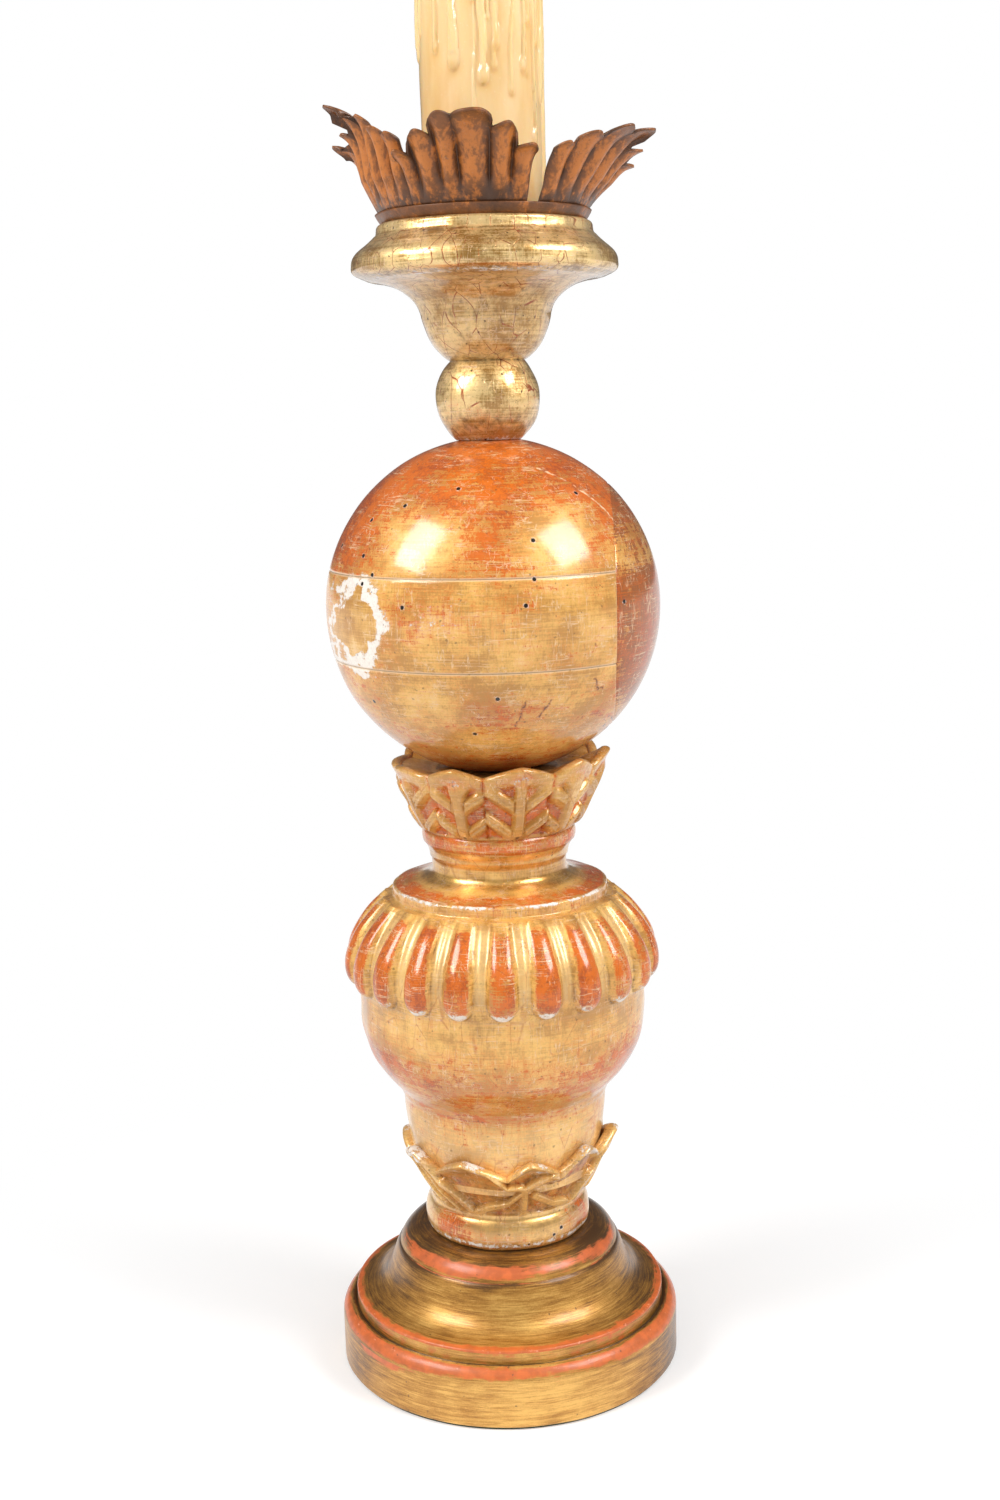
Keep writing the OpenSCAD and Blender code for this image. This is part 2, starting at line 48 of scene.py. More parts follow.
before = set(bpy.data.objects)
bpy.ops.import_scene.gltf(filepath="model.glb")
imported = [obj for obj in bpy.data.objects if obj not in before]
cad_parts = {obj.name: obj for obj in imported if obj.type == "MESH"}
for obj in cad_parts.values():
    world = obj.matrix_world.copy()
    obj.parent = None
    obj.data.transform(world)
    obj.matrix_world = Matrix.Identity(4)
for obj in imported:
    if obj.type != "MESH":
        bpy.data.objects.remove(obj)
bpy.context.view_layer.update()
FRONT = -math.pi / 2

# Radii in millimetres: the rod's hole through the turned pieces, its looser hole in the pan and the candle,
# and the recesses for its nuts.
ROD_HOLE = 5.25
LOOSE_HOLE = 5.3
NUT_RECESS = 17


# Properties

def length(name, description, millimetres):
    """A length that a user may change, with its default given in millimetres."""
    return bpy.props.FloatProperty(
        name=name, description=description, default=millimetres / 1000, min=0, precision=4, unit="LENGTH")


def colour(name, description, red, green, blue):
    """A colour that a user may change, in linear light."""
    return bpy.props.FloatVectorProperty(
        name=name, description=description, default=(red, green, blue), min=0, max=1, size=3, subtype="COLOR")


def height_of(node, top=True):
    """The height of a solid part's top or bottom, in millimetres."""
    low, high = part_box(node)
    return 1000 * (high.z if top else low.z)


def width_of(node):
    """The width of a solid part, in millimetres."""
    low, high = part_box(node)
    return 1000 * (high.x - low.x)


class CandlestickFoot(bpy.types.PropertyGroup):
    """Sizes of the turned foot."""
    bottom: length("Bottom", "Height of the wooden underside above the table", height_of("foot", top=False))
    top: length("Top", "Height of the flat that carries the baluster", height_of("foot"))
    width: length("Width", "Diameter of the plinth", width_of("foot"))
    plinth: length("Plinth", "Height of the plinth", 23.5)
    rounding: length("Rounding", "Rounding of the plinth's upper edge", 5.3)
    fillet_width: length("Fillet width", "Diameter of the fillet on the plinth", 125)
    fillet: length("Fillet", "Height of the fillet", 5)
    dome_width: length("Dome width", "Diameter of the dome's upper swell", 91)
    flat_width: length("Flat width", "Diameter of the flat on top", 66)
    recess: length("Recess", "Depth of the nut recess underneath", 16)


class CandlestickBaluster(bpy.types.PropertyGroup):
    """Sizes of the carved baluster."""
    bottom: length("Bottom", "Height of the baluster's underside", height_of("baluster", top=False))
    ring: length("Ring", "Height of the round ring", 13.4)
    ring_width: length("Ring width", "Diameter of the round ring", 66.6)
    waist_width: length("Waist width", "Diameter of the waist above the ring", 61)
    collar: length("Collar", "Height of the lower leaves", 26.7)
    collar_width: length("Collar width", "Diameter over the lower leaves' tips", 88)
    stem: length("Stem", "Height from the waist to the belly", 42.8)
    stem_width: length("Stem width", "Diameter of the stem", 80.4)
    belly: length("Belly", "Height of the belly", 41.8)
    belly_width: length("Belly width", "Diameter of the belly", 112.8)
    gadroon: length("Gadroon", "Height of the gadroons", 40)
    gadroon_width: length("Gadroon width", "Diameter over the gadroons", 124.8)
    gadroon_depth: length("Gadroon depth", "Depth of the flutes between gadroons", 4.6)
    shoulder: length("Shoulder", "Thickness of the shoulder disc", 4.3)
    shoulder_width: length("Shoulder width", "Diameter of the shoulder disc", 84.6)
    neck: length("Neck", "Height of the neck", 17.2)
    neck_width: length("Neck width", "Diameter of the neck", 53)
    bead: length("Bead", "Height of the bead", 6)
    bead_width: length("Bead width", "Diameter of the bead", 60)
    calyx: length("Calyx", "Height of the calyx up to the ball's seat", 23.5)
    calyx_width: length("Calyx width", "Diameter over the calyx tips", 88)
    calyx_rise: length("Calyx rise", "How far the calyx tips stand above the seat", 6)
    gadroons: bpy.props.IntProperty(name="Gadroons", description="Number of gadroons", default=22, min=8)


class CandlestickBall(bpy.types.PropertyGroup):
    """Sizes of the glued-up ball."""
    bottom: length("Bottom", "Height of the flat under the ball", height_of("ball_lower_block", top=False))
    seam_low: length("Lower seam", "Height of the lower glue seam", height_of("ball_lower_block"))
    seam_high: length("Upper seam", "Height of the upper glue seam", height_of("ball_middle_block"))
    top: length("Top", "Height of the flat under the cup", height_of("ball_upper_block"))
    width: length("Width", "Diameter of the ball", 128)
    seat_width: length("Seat width", "Diameter of the flat the ball stands on", 34)
    cheek: length("Cheek", "Distance of the side block's glue face from the axis",
                  1000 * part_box("ball_side_block")[0].x)
    groove: length("Groove", "Depth of the open glue seams", 0.35)


class CandlestickCup(bpy.types.PropertyGroup):
    """Sizes of the cup."""
    bottom: length("Bottom", "Height of the knop's underside", height_of("cup", top=False))
    top: length("Top", "Height of the cup's upper face", height_of("cup"))
    width: length("Width", "Diameter over the rim moulding", 98.8)
    foot_width: length("Foot width", "Diameter of the flat under the knop", 24)
    knop_width: length("Knop width", "Diameter of the knop", 39.2)
    crease_width: length("Crease width", "Diameter of the crease above the knop", 28.2)
    bowl_width: length("Bowl width", "Diameter of the bowl where it starts to flare", 48.4)
    rim: length("Rim", "Height of the rim moulding", 20)
    lip_width: length("Lip width", "Diameter of the upper fillet", 80.4)
    recess: length("Recess", "Depth of the nut recess on top", 13)


class CandlestickPan(bpy.types.PropertyGroup):
    """Sizes of the drip pan."""
    bottom: length("Bottom", "Height of the pan's underside", height_of("pan_dish", top=False))
    flat_width: length("Flat width", "Diameter of the flat bottom", 75)
    rim_width: length("Rim width", "Diameter of the rim", 80)
    rim: length("Rim", "Height of the rim", 4)
    sheet: length("Sheet", "Thickness of the sheet iron", 0.9)
    leaf: length("Leaf", "Length that the leaves are cut from", 40)
    leaf_width: length("Leaf width", "Width of a leaf round the rim", 43.8)
    rib: length("Rib", "Depth of the ribs", 1.6)


class CandlestickCandle(bpy.types.PropertyGroup):
    """Sizes of the candle."""
    bottom: length("Bottom", "Height of the candle's underside", height_of("candle", top=False))
    top: length("Top", "Height of the candle's rim", height_of("candle"))
    width: length("Width", "Diameter of the candle", 44.4)
    pool: length("Pool", "Depth of the melted pool", 5.2)
    wick_top: length("Wick top", "Height of the wick's end", height_of("wick"))
    wick_width: length("Wick width", "Diameter of the wick", 2)
    spike_tip: length("Spike tip", "Height of the pricket's tip", height_of("pricket_rod"))


class CandlestickColours(bpy.types.PropertyGroup):
    """Colours of the finishes, in linear light."""
    gold: colour("Gold", "Bright gold leaf", 0.90, 0.53, 0.14)
    old_gold: colour("Old gold", "Duller, browner gold leaf", 0.51, 0.24, 0.052)
    pale_gold: colour("Pale gold", "Rubbed, lighter gold leaf", 0.93, 0.66, 0.31)
    silver_gold: colour("Silver gold", "Pale greyed gold of the cup", 0.99, 0.72, 0.32)
    brown_gold: colour("Brown gold", "Darkened gold of the cup", 0.40, 0.205, 0.046)
    bole: colour("Bole", "Orange-red clay under the gold", 0.63, 0.125, 0.005)
    dark_bole: colour("Dark bole", "Darker clay in the worn places", 0.34, 0.050, 0.007)
    side_clay: colour("Side clay", "Red-brown clay of the ball's side block", 0.25, 0.068, 0.014)
    scuff: colour("Scuff", "Pale pinkish scuffs and scratches", 0.90, 0.63, 0.38)
    gesso: colour("Gesso", "White ground that shows at chips", 0.92, 0.83, 0.74)
    # Soiling, and also painted shade in hollows, creases and under overhangs
    dirt: colour("Dirt", "Dirt in the hollows", 0.085, 0.045, 0.018)
    bronze: colour("Bronze", "Dark brushed bronze paint of the foot", 0.13, 0.055, 0.012)
    bronze_mid: colour("Middle bronze", "Bronze paint between dark and light strokes", 0.47, 0.215, 0.034)
    bronze_light: colour("Light bronze", "Brush strokes of lighter bronze", 0.84, 0.49, 0.125)
    foot_red: colour("Foot red", "Red edges of the foot", 0.68, 0.135, 0.022)
    rust: colour("Rust", "Orange-brown tole", 0.25, 0.085, 0.020)
    # Orange streaks, and the painted highlight on the ribs' crests
    rust_streak_and_highlight: colour("Light rust", "Orange ribs of the tole", 0.58, 0.185, 0.030)
    # Dark rust at edges and stains, and the painted shade in the ribs' valleys
    dark_rust_and_shade: colour("Dark rust", "Brown valleys of the tole", 0.085, 0.034, 0.014)
    wax: colour("Wax", "Warm cream wax", 0.90, 0.655, 0.325)
    # Deep yellow wax, which also paints the shadow under each drop
    wax_deep_and_shadow: colour("Deep wax", "Yellower wax in thick drips", 0.80, 0.49, 0.17)
    iron: colour("Iron", "Dark wrought iron", 0.07, 0.062, 0.055)
    baize: colour("Baize", "Dark green wool", 0.035, 0.06, 0.03)


class CandlestickStage(bpy.types.PropertyGroup):
    """The camera and the light."""
    distance: length("Distance", "From the camera to the point that it looks at", 712.14)
    aim: length("Aim", "Height of the point that the camera looks at", 249.48)
    aside: length("Aside", "How far the camera stands to the right", 1.3)
    lens: bpy.props.FloatProperty(
        name="Lens", description="Focal length in millimetres", default=43.82, min=1)
    pitch: bpy.props.FloatProperty(
        name="Pitch", description="How far the camera looks down", default=math.radians(10.6),
        subtype="ANGLE")
    roll: bpy.props.FloatProperty(
        name="Roll", description="How far the camera is turned on its axis", default=math.radians(1.38),
        subtype="ANGLE")
    softbox: length("Softbox", "Width of each of the two softboxes", 600)
    softbox_far: length("Softbox distance", "Distance of the softboxes from the object", 1300)
    softbox_power: bpy.props.FloatProperty(
        name="Softbox power", description="Power of each softbox", default=12, min=0, unit="POWER")
    floor_colour: colour("Floor", "Colour of the floor", 0.8, 0.8, 0.8)


def in_millimetres(group):
    """A property group's lengths in millimetres, under their own names. Whole numbers stay as they are."""
    values = {name: getattr(group, name) for name in group.__annotations__}
    return SimpleNamespace(**{
        name: value if isinstance(value, int) else 1000 * value for name, value in values.items()
    })


# Curves and grids

def bezier(a, b, c, d, steps):
    """Points of a cubic curve from a to d, pulled towards b and c."""
    t = np.linspace(0, 1, steps + 1)[:, None]
    a, b, c, d = (np.asarray(point, float) for point in (a, b, c, d))
    return (1 - t)**3 * a + 3 * t * (1 - t)**2 * b + 3 * t**2 * (1 - t) * c + t**3 * d


def arc(centre, radius, start, end, steps):
    """Points of a circle's arc between two angles in degrees."""
    angle = np.radians(np.linspace(start, end, steps + 1))
    return np.asarray(centre, float) + radius * np.stack([np.cos(angle), np.sin(angle)], axis=-1)


def line(a, b, steps):
    """Points of a straight line, both ends included."""
    t = np.linspace(0, 1, steps + 1)[:, None]
    return np.asarray(a, float) * (1 - t) + np.asarray(b, float) * t


def smooth(value, low, high):
    """0 below low, 1 above high and an S curve between."""
    t = np.clip((value - low) / (high - low), 0, 1)
    return t * t * (3 - 2 * t)


def hump(value, middle, width):
    """A bell curve of height 1."""
    return np.exp(-((value - middle) / width)**2)


def directions(count):
    """Evenly spaced angles round the axis, from the front."""
    return FRONT + np.linspace(0, 2 * math.pi, count, endpoint=False)


def degrees_from_front(angle):
    """Angles round the axis as degrees from the front, from -180 to 180."""
    return (np.degrees(angle - FRONT) + 180) % 360 - 180


def turned(radius, angle, height):
    """Points at a radius, an angle round the axis and a height."""
    radius, angle, height = np.broadcast_arrays(radius, angle, height)
    return np.stack([radius * np.cos(angle), radius * np.sin(angle), height], axis=-1)


def wobble(points, size, seed, waves=14):
    """A gentle unevenness of about -1 to 1: a sum of sine waves, size long, in seeded random directions."""
    random = np.random.default_rng(seed)
    pull = random.normal(size=(waves, 3))
    strength = np.linalg.norm(pull, axis=1)[:, None]
    pull *= (2 * math.pi / size) * random.uniform(0.6, 1.5, (waves, 1)) / strength
    phase = random.uniform(0, 2 * math.pi, waves)
    return np.sin(points @ pull.T + phase).sum(axis=-1) / math.sqrt(waves)


def roughen(points, amount, size, seed):
    """Moves points in or out from the axis by a gentle unevenness."""
    swell = 1 + amount * wobble(points, size, seed) / np.maximum(np.hypot(points[..., 0], points[..., 1]), 4)
    moved = points.copy()
    moved[..., :2] *= swell[..., None]
    return moved


# Meshes

def grid_faces(rows, columns, close_rows, close_columns):
    """Four-sided faces between the points of a grid that are numbered row by row."""
    row = np.arange(rows if close_rows else rows - 1)[:, None]
    column = np.arange(columns if close_columns else columns - 1)[None, :]
    next_row = (row + 1) % rows
    next_column = (column + 1) % columns
    corners = [row * columns + column, row * columns + next_column,
               next_row * columns + next_column, next_row * columns + column]
    return np.stack(corners, axis=-1).reshape(-1, 4)


def make_piece(name, points, body, nodes, material,
               close_rows=True, close_columns=True, masks=None, sharp=50):
    """A mesh over a grid of points in millimetres, with its masks as attributes, that rides on a body.

    Points that fall together, as at a pole, are merged, and the faces of a closed mesh turned outwards."""
    rows, columns = points.shape[:2]
    mesh = bpy.data.meshes.new(name)
    faces = grid_faces(rows, columns, close_rows, close_columns)
    mesh.from_pydata(points.reshape(-1, 3) / 1000, [], faces.tolist())
    for mask, values in (masks or {}).items():
        values = np.broadcast_to(values, (rows, columns)).astype(np.float32)
        mesh.attributes.new(mask, "FLOAT", "POINT").data.foreach_set("value", values.ravel())
    cleaner = bmesh.new()
    cleaner.from_mesh(mesh)
    bmesh.ops.remove_doubles(cleaner, verts=cleaner.verts, dist=1e-6)
    bmesh.ops.dissolve_degenerate(cleaner, edges=cleaner.edges, dist=1e-7)
    if close_rows and close_columns:
        bmesh.ops.recalc_face_normals(cleaner, faces=cleaner.faces)
    cleaner.to_mesh(mesh)
    cleaner.free()
    mesh.polygons.foreach_set("use_smooth", np.ones(len(mesh.polygons), bool))
    mesh.set_sharp_from_angle(angle=math.radians(sharp))
    mesh.materials.append(material)
    piece = bpy.data.objects.new(name, mesh)
    bpy.context.scene.collection.objects.link(piece)
    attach(piece, body)
    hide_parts(*nodes)
    return piece


# Materials

class Finish:
    """A procedural material, with short calls for the nodes that finishes share, in millimetres."""

    def __init__(self, name):
        self.material = bpy.data.materials.new(name)
        self.material.use_nodes = True
        self.tree = self.material.node_tree
        self.tree.nodes.clear()
        here = self.node("ShaderNodeTexCoord").outputs["Object"]
        self.place = self.vector("SCALE", here, scale=1000)
        split = self.node("ShaderNodeSeparateXYZ")
        self.join(self.place, split.inputs[0])
        self.x, self.y, self.z = split.outputs

    def node(self, kind, **settings):
        """A new node with its settings."""
        made = self.tree.nodes.new(kind)
        for name, value in settings.items():
            setattr(made, name, value)
        return made

    def join(self, value, socket):
        """Puts a number, a colour or another node's output into a socket."""
        if isinstance(value, bpy.types.NodeSocket):
            self.tree.links.new(value, socket)
        elif value is not None:
            socket.default_value = value

    def vector(self, kind, a, b=None, scale=None):
        """Vector arithmetic."""
        made = self.node("ShaderNodeVectorMath", operation=kind)
        self.join(a, made.inputs[0])
        self.join(b, made.inputs[1])
        self.join(scale, made.inputs[3])
        return made.outputs["Value" if kind in ("DISTANCE", "LENGTH", "DOT_PRODUCT") else "Vector"]

    def maths(self, kind, a, b=0.0, c=None):
        """Arithmetic on numbers."""
        made = self.node("ShaderNodeMath", operation=kind)
        self.join(a, made.inputs[0])
        self.join(b, made.inputs[1])
        self.join(c, made.inputs[2])
        return made.outputs[0]

    def total(self, *shares):
        """A weighted sum of values, each alone or in a pair with its weight."""
        result = 0.0
        for share in shares:
            value, weight = share if isinstance(share, tuple) else (share, 1.0)
            result = self.maths("MULTIPLY_ADD", value, weight, result)
        return result

    def stretched(self, x, y, z):
        """The place with each axis scaled, for patterns that run one way."""
        return self.vector("MULTIPLY", self.place, (x, y, z))

    def noise(self, size, detail=4.0, rough=0.55, at=None, twist=0.0):
        """Cloudy noise from 0 to 1 with features about size millimetres across."""
        made = self.node("ShaderNodeTexNoise")
        self.join(at or self.place, made.inputs["Vector"])
        made.inputs["Scale"].default_value = 1 / size
        made.inputs["Detail"].default_value = detail
        made.inputs["Roughness"].default_value = rough
        made.inputs["Distortion"].default_value = twist
        return made.outputs["Factor" if "Factor" in made.outputs else "Fac"]

    def spread(self, value, gain):
        """A noise made to swing about zero."""
        return self.maths("MULTIPLY_ADD", value, gain, -0.5 * gain)

    def contour(self, value):
        """How far a noise is from its middle value, which it crosses along thin lines."""
        return self.maths("ABSOLUTE", self.spread(value, 1.0))

    def cracks(self, size, at=None):
        """The distance to the edges of irregular cells about size millimetres across."""
        made = self.node("ShaderNodeTexVoronoi", feature="DISTANCE_TO_EDGE")
        self.join(at or self.place, made.inputs["Vector"])
        made.inputs["Scale"].default_value = 1 / size
        return made.outputs["Distance"]

    def specks(self, size):
        """The distance to scattered points about size millimetres apart."""
        made = self.node("ShaderNodeTexVoronoi", feature="F1")
        self.join(self.place, made.inputs["Vector"])
        made.inputs["Scale"].default_value = 1 / size
        return made.outputs["Distance"]

    def step(self, value, low, high):
        """0 below low and 1 above high with a smooth rise, or the other way round where low is the larger."""
        made = self.node("ShaderNodeMapRange", interpolation_type="SMOOTHSTEP")
        self.join(value, made.inputs["Value"])
        flip = low > high
        made.inputs["From Min"].default_value = high if flip else low
        made.inputs["From Max"].default_value = low if flip else high
        made.inputs["To Min"].default_value = 1.0 if flip else 0.0
        made.inputs["To Max"].default_value = 0.0 if flip else 1.0
        return made.outputs["Result"]

    def mask(self, name):
        """One of the piece's own attributes."""
        return self.node("ShaderNodeAttribute", attribute_name=name).outputs["Fac"]

    def mix(self, share, a, b):
        """A colour between a and b."""
        made = self.node("ShaderNodeMix", data_type="RGBA")
        self.join(share, made.inputs[0])
        for socket, value in ((made.inputs[6], a), (made.inputs[7], b)):
            if not isinstance(value, bpy.types.NodeSocket):
                value = (*tuple(value)[:3], 1.0)
            self.join(value, socket)
        return made.outputs[2]

    def between(self, share, a, b):
        """A number between a and b."""
        made = self.node("ShaderNodeMix", data_type="FLOAT")
        self.join(share, made.inputs[0])
        self.join(a, made.inputs[2])
        self.join(b, made.inputs[3])
        return made.outputs[0]

    def bump(self, height, depth):
        """A surface relief of depth millimetres for a height from 0 to 1."""
        made = self.node("ShaderNodeBump")
        made.inputs["Strength"].default_value = 1.0
        made.inputs["Distance"].default_value = depth / 1000
        self.join(height, made.inputs["Height"])
        return made.outputs["Normal"]

    def done(self, colour, rough, metal=0.0, relief=None, **plain):
        """Ends the material in one shader. Plain sockets keep the same value all over."""
        shader = self.node("ShaderNodeBsdfPrincipled")
        self.join(colour, shader.inputs["Base Color"])
        self.join(rough, shader.inputs["Roughness"])
        self.join(metal, shader.inputs["Metallic"])
        self.join(relief, shader.inputs["Normal"])
        for name, value in plain.items():
            shader.inputs[name.replace("_", " ").title().replace("Ior", "IOR")].default_value = value
        end = self.node("ShaderNodeOutputMaterial")
        self.join(shader.outputs[0], end.inputs["Surface"])
        return self.material


def near_points(finish, points):
    """The distance in millimetres to the nearest of some points."""
    nearest = None
    for point in points:
        gap = finish.vector("DISTANCE", finish.place, tuple(point))
        nearest = gap if nearest is None else finish.maths("MINIMUM", nearest, gap)
    return nearest


def near_lines(finish, lines, wander=0.8):
    """The distance in millimetres to the nearest of some lines from a to b, which wander a little.

    The nearest place on a line is a plus (b - a) times the share (p - a).(b - a) / |b - a| squared, kept
    between 0 and 1."""
    shake = finish.node("ShaderNodeTexNoise")
    finish.join(finish.place, shake.inputs["Vector"])
    shake.inputs["Scale"].default_value = 0.35
    offset = finish.vector("SUBTRACT", shake.outputs["Color"], (0.5, 0.5, 0.5))
    here = finish.vector("ADD", finish.place, finish.vector("SCALE", offset, scale=4 * wander))
    nearest = None
    for a, b in np.asarray(lines, float):
        way = b - a
        from_a = finish.vector("SUBTRACT", here, tuple(a))
        share = finish.vector("DOT_PRODUCT", from_a, tuple(way / (way @ way)))
        share = finish.maths("MINIMUM", finish.maths("MAXIMUM", share, 0.0), 1.0)
        along = finish.node("ShaderNodeVectorMath", operation="SCALE")
        along.inputs[0].default_value = tuple(way)
        finish.join(share, along.inputs[3])
        gap = finish.vector("LENGTH", finish.vector("SUBTRACT", from_a, along.outputs["Vector"]))
        nearest = gap if nearest is None else finish.maths("MINIMUM", nearest, gap)
    return nearest


def damaged(f, colours, paint, height, flake, grain, holes, scars, rubs, seams):
    """A finish's paint and relief with damage at given places added.

    Seams are heights where an open joint shows dark with a pale edge, scars are dark lines, rubs are pale
    lines, and holes are points where beetles left dark pits."""
    dark = (0.010, 0.006, 0.004)
    for seam in seams:
        gap = f.maths("ABSOLUTE", f.maths("SUBTRACT", f.z, seam))
        lit = f.maths("MULTIPLY", f.step(gap, 0.75, 0.35), f.step(f.total(flake, (grain, 0.5)), 0.50, 0.72))
        paint = f.mix(f.total((lit, 0.7)), paint, colours.scuff)
        paint = f.mix(f.total((f.step(gap, 0.30, 0.10), 0.55)), paint, colours.dirt)
    if len(scars):
        gap = near_lines(f, scars)
        paint = f.mix(f.total((f.step(gap, 1.1, 0.35), 0.45)), paint, colours.dark_bole)
        scar = f.step(gap, 0.34, 0.14)
        paint = f.mix(f.total((scar, 0.75)), paint, colours.dirt)
        height = f.total(height, (scar, -2.2))
    if len(rubs):
        rub = f.maths("MULTIPLY", f.step(near_lines(f, rubs, 0.5), 0.75, 0.25), f.step(flake, 0.38, 0.56))
        paint = f.mix(f.total((rub, 0.85)), paint, colours.scuff)
    if len(holes):
        gap = near_points(f, holes)
        pit = f.step(gap, 0.85, 0.62)
        ring = f.maths("MULTIPLY", f.step(gap, 1.4, 0.9), f.step(grain, 0.45, 0.6))
        paint = f.mix(f.total((ring, 0.5)), paint, colours.gesso)
        paint = f.mix(pit, paint, dark)
        height = f.total(height, (pit, -4.0))
    return paint, height


def gilding(name, colours, gold, old_gold, clay=None, shine=0.32, strokes=1.0, speckle=0.0, crackle=0.0,
            gloss=0.16, holes=(), scars=(), rubs=(), seams=()):
    """Old gold leaf on orange clay over white gesso, worn through where the piece's masks say so.

    The masks are bole, gesso, dirt, dull, bright and fair; the dirt mask darkens with soiling and with
    painted shade in hollows, creases and under overhangs. The first three are broken up by noise before they
    are cut off, and bole and gesso also by streaks that run round the piece and by upright strokes."""
    f = Finish(name)

    # How far each place is worn to the clay, chipped to the gesso, and darkened by soiling and by painted
    # shade
    cloud = f.noise(21, 3)
    patch = f.noise(8, 4, 0.6)
    flake = f.noise(3.4, 6, 0.66)
    grain = f.noise(0.8, 3, 0.6)
    across = f.noise(1.5, 5, 0.66, at=f.stretched(0.07, 0.07, 2.2))
    upright = f.noise(1.5, 4, 0.64, at=f.stretched(2.2, 2.2, 0.09))
    streaks = f.total(f.spread(across, 1.0 * strokes), f.spread(upright, 0.6 * strokes))
    swing = f.total(f.spread(flake, 1.0), f.spread(patch, 0.9), f.spread(grain, 0.4), streaks)
    worn = f.total(f.mask("bole"), swing)
    bare = f.step(worn, 0.40, 0.58)
    rubbed = f.step(worn, 0.02, 0.60)
    nicks = f.spread(f.noise(2.6, 6, 0.70), 1.3)
    chip = f.total(f.mask("gesso"), nicks, f.spread(grain, 0.5), (streaks, 0.4))
    white = f.step(chip, 0.47, 0.54)
    pale = f.step(chip, 0.24, 0.50)
    hollow = f.total(f.mask("dirt"), f.spread(f.noise(2.4, 5), 1.0), f.spread(grain, 0.3))
    grime_and_shade = f.step(hollow, 0.38, 0.95)

    # The leaf's own colours, and the clay where it is bare
    tone = f.total(0.50, f.spread(cloud, 1.7), f.spread(patch, 1.6), f.spread(grain, 0.7), (streaks, 1.1))
    leaf = f.mix(f.step(tone, 0.10, 0.80), old_gold, gold)
    leaf = f.mix(f.total((f.mask("dull"), 0.8)), leaf, colours.old_gold)
    leaf = f.mix(f.total((f.step(tone, 0.65, 1.15), 0.75)), leaf, colours.pale_gold)
    leaf = f.mix(f.total((f.mask("fair"), 0.9)), leaf, colours.pale_gold)
    leaf = f.mix(f.total((rubbed, 0.34)), leaf, colours.bole)
    lit_clay = clay or colours.bole
    deep = f.step(f.total(flake, f.spread(cloud, 0.8), f.spread(grain, 0.5)), 0.34, 0.60)
    earth = f.mix(deep, colours.dark_bole, lit_clay)
    paint = f.mix(f.total((bare, 0.92)), leaf, earth)

    # Red and pale hairlines, round the piece and upright
    hair = f.noise(3.0, 3, 0.5, at=f.stretched(0.09, 0.09, 1.5))
    lines = f.noise(3.4, 3, 0.5, at=f.vector("ADD", f.stretched(1.3, 1.3, 0.16), (9, 4, 2)))
    drawn = f.maths("MINIMUM", f.contour(hair), f.contour(lines))
    scored = f.noise(2.6, 3, 0.5, at=f.vector("ADD", f.stretched(0.07, 0.07, 1.9), (5, 1, 6)))
    ruled = f.noise(2.6, 3, 0.5, at=f.vector("ADD", f.stretched(1.9, 1.9, 0.07), (2, 8, 3)))
    red_line = f.step(f.maths("MINIMUM", f.contour(scored), f.contour(ruled)), 0.030, 0.008)
    thin = f.step(f.total(f.mask("bole"), f.spread(patch, 0.8)), 0.06, 0.36)
    paint = f.mix(f.total((f.maths("MULTIPLY", red_line, thin), 0.45)), paint, colours.bole)
    scratch = f.maths("MULTIPLY", f.step(drawn, 0.014, 0.004), f.step(f.noise(9, 4), 0.45, 0.57))
    paint = f.mix(f.total((scratch, 0.60)), paint, colours.scuff)

    # Gesso, fly specks, cracks, and soiling with painted shade in hollows and creases
    paint = f.mix(f.total((pale, 0.40)), paint, colours.scuff)
    ground = f.mix(f.step(grain, 0.35, 0.75), colours.gesso, [0.84 * c for c in colours.gesso])
    paint = f.mix(white, paint, ground)
    dots = f.step(f.total(f.specks(4.6), f.spread(grain, 0.25)), 0.12, 0.06)
    freckles = f.maths("MULTIPLY", f.step(f.specks(1.5), 0.17, 0.10), f.step(f.noise(12, 3), 0.46, 0.60))
    spots = f.maths("MAXIMUM", dots, f.total((freckles, 0.20 + speckle)))
    paint = f.mix(f.total((spots, 0.50 + speckle)), paint, colours.dirt)
    split = f.step(f.cracks(7, at=f.vector("ADD", f.stretched(1, 1, 0.30), (3, 5, 7))), 0.022, 0.006)
    split = f.maths("MULTIPLY", split, f.step(patch, 0.42, 0.58))
    paint = f.mix(f.total((split, crackle)), paint, colours.dark_bole)
    # Darkening from the dirt mask: soiling, and painted shade in hollows, creases and under overhangs
    paint = f.mix(f.total((grime_and_shade, 0.78)), paint, colours.dirt)
    height = f.total((bare, -0.5), (white, -0.8), (flake, 0.6), (grain, 0.4), (streaks, 0.6), (spots, -0.5),
                     (split, -0.8 * min(1.0, 2 * crackle)), (scratch, -0.4))
    paint, height = damaged(f, colours, paint, height, flake, grain, holes, scars, rubs, seams)

    # Shine and relief
    covered = f.maths("MULTIPLY", f.between(bare, 1.0, 0.15), f.between(white, 1.0, 0.0))
    metal = f.maths("MULTIPLY", covered, f.total((f.mask("bright"), 0.50), shine))
    rough = f.total(f.between(white, 0.30, 0.70), (flake, 0.18), (grime_and_shade, 0.25), (f.mask("bright"), -0.07))
    height = f.maths("MULTIPLY", height, f.between(f.mask("bright"), 1.0, 0.35))
    return f.done(paint, rough, metal, f.bump(height, 0.14), specular_ior_level=0.1, coat_weight=0.9,
                  coat_roughness=gloss, coat_ior=1.6)


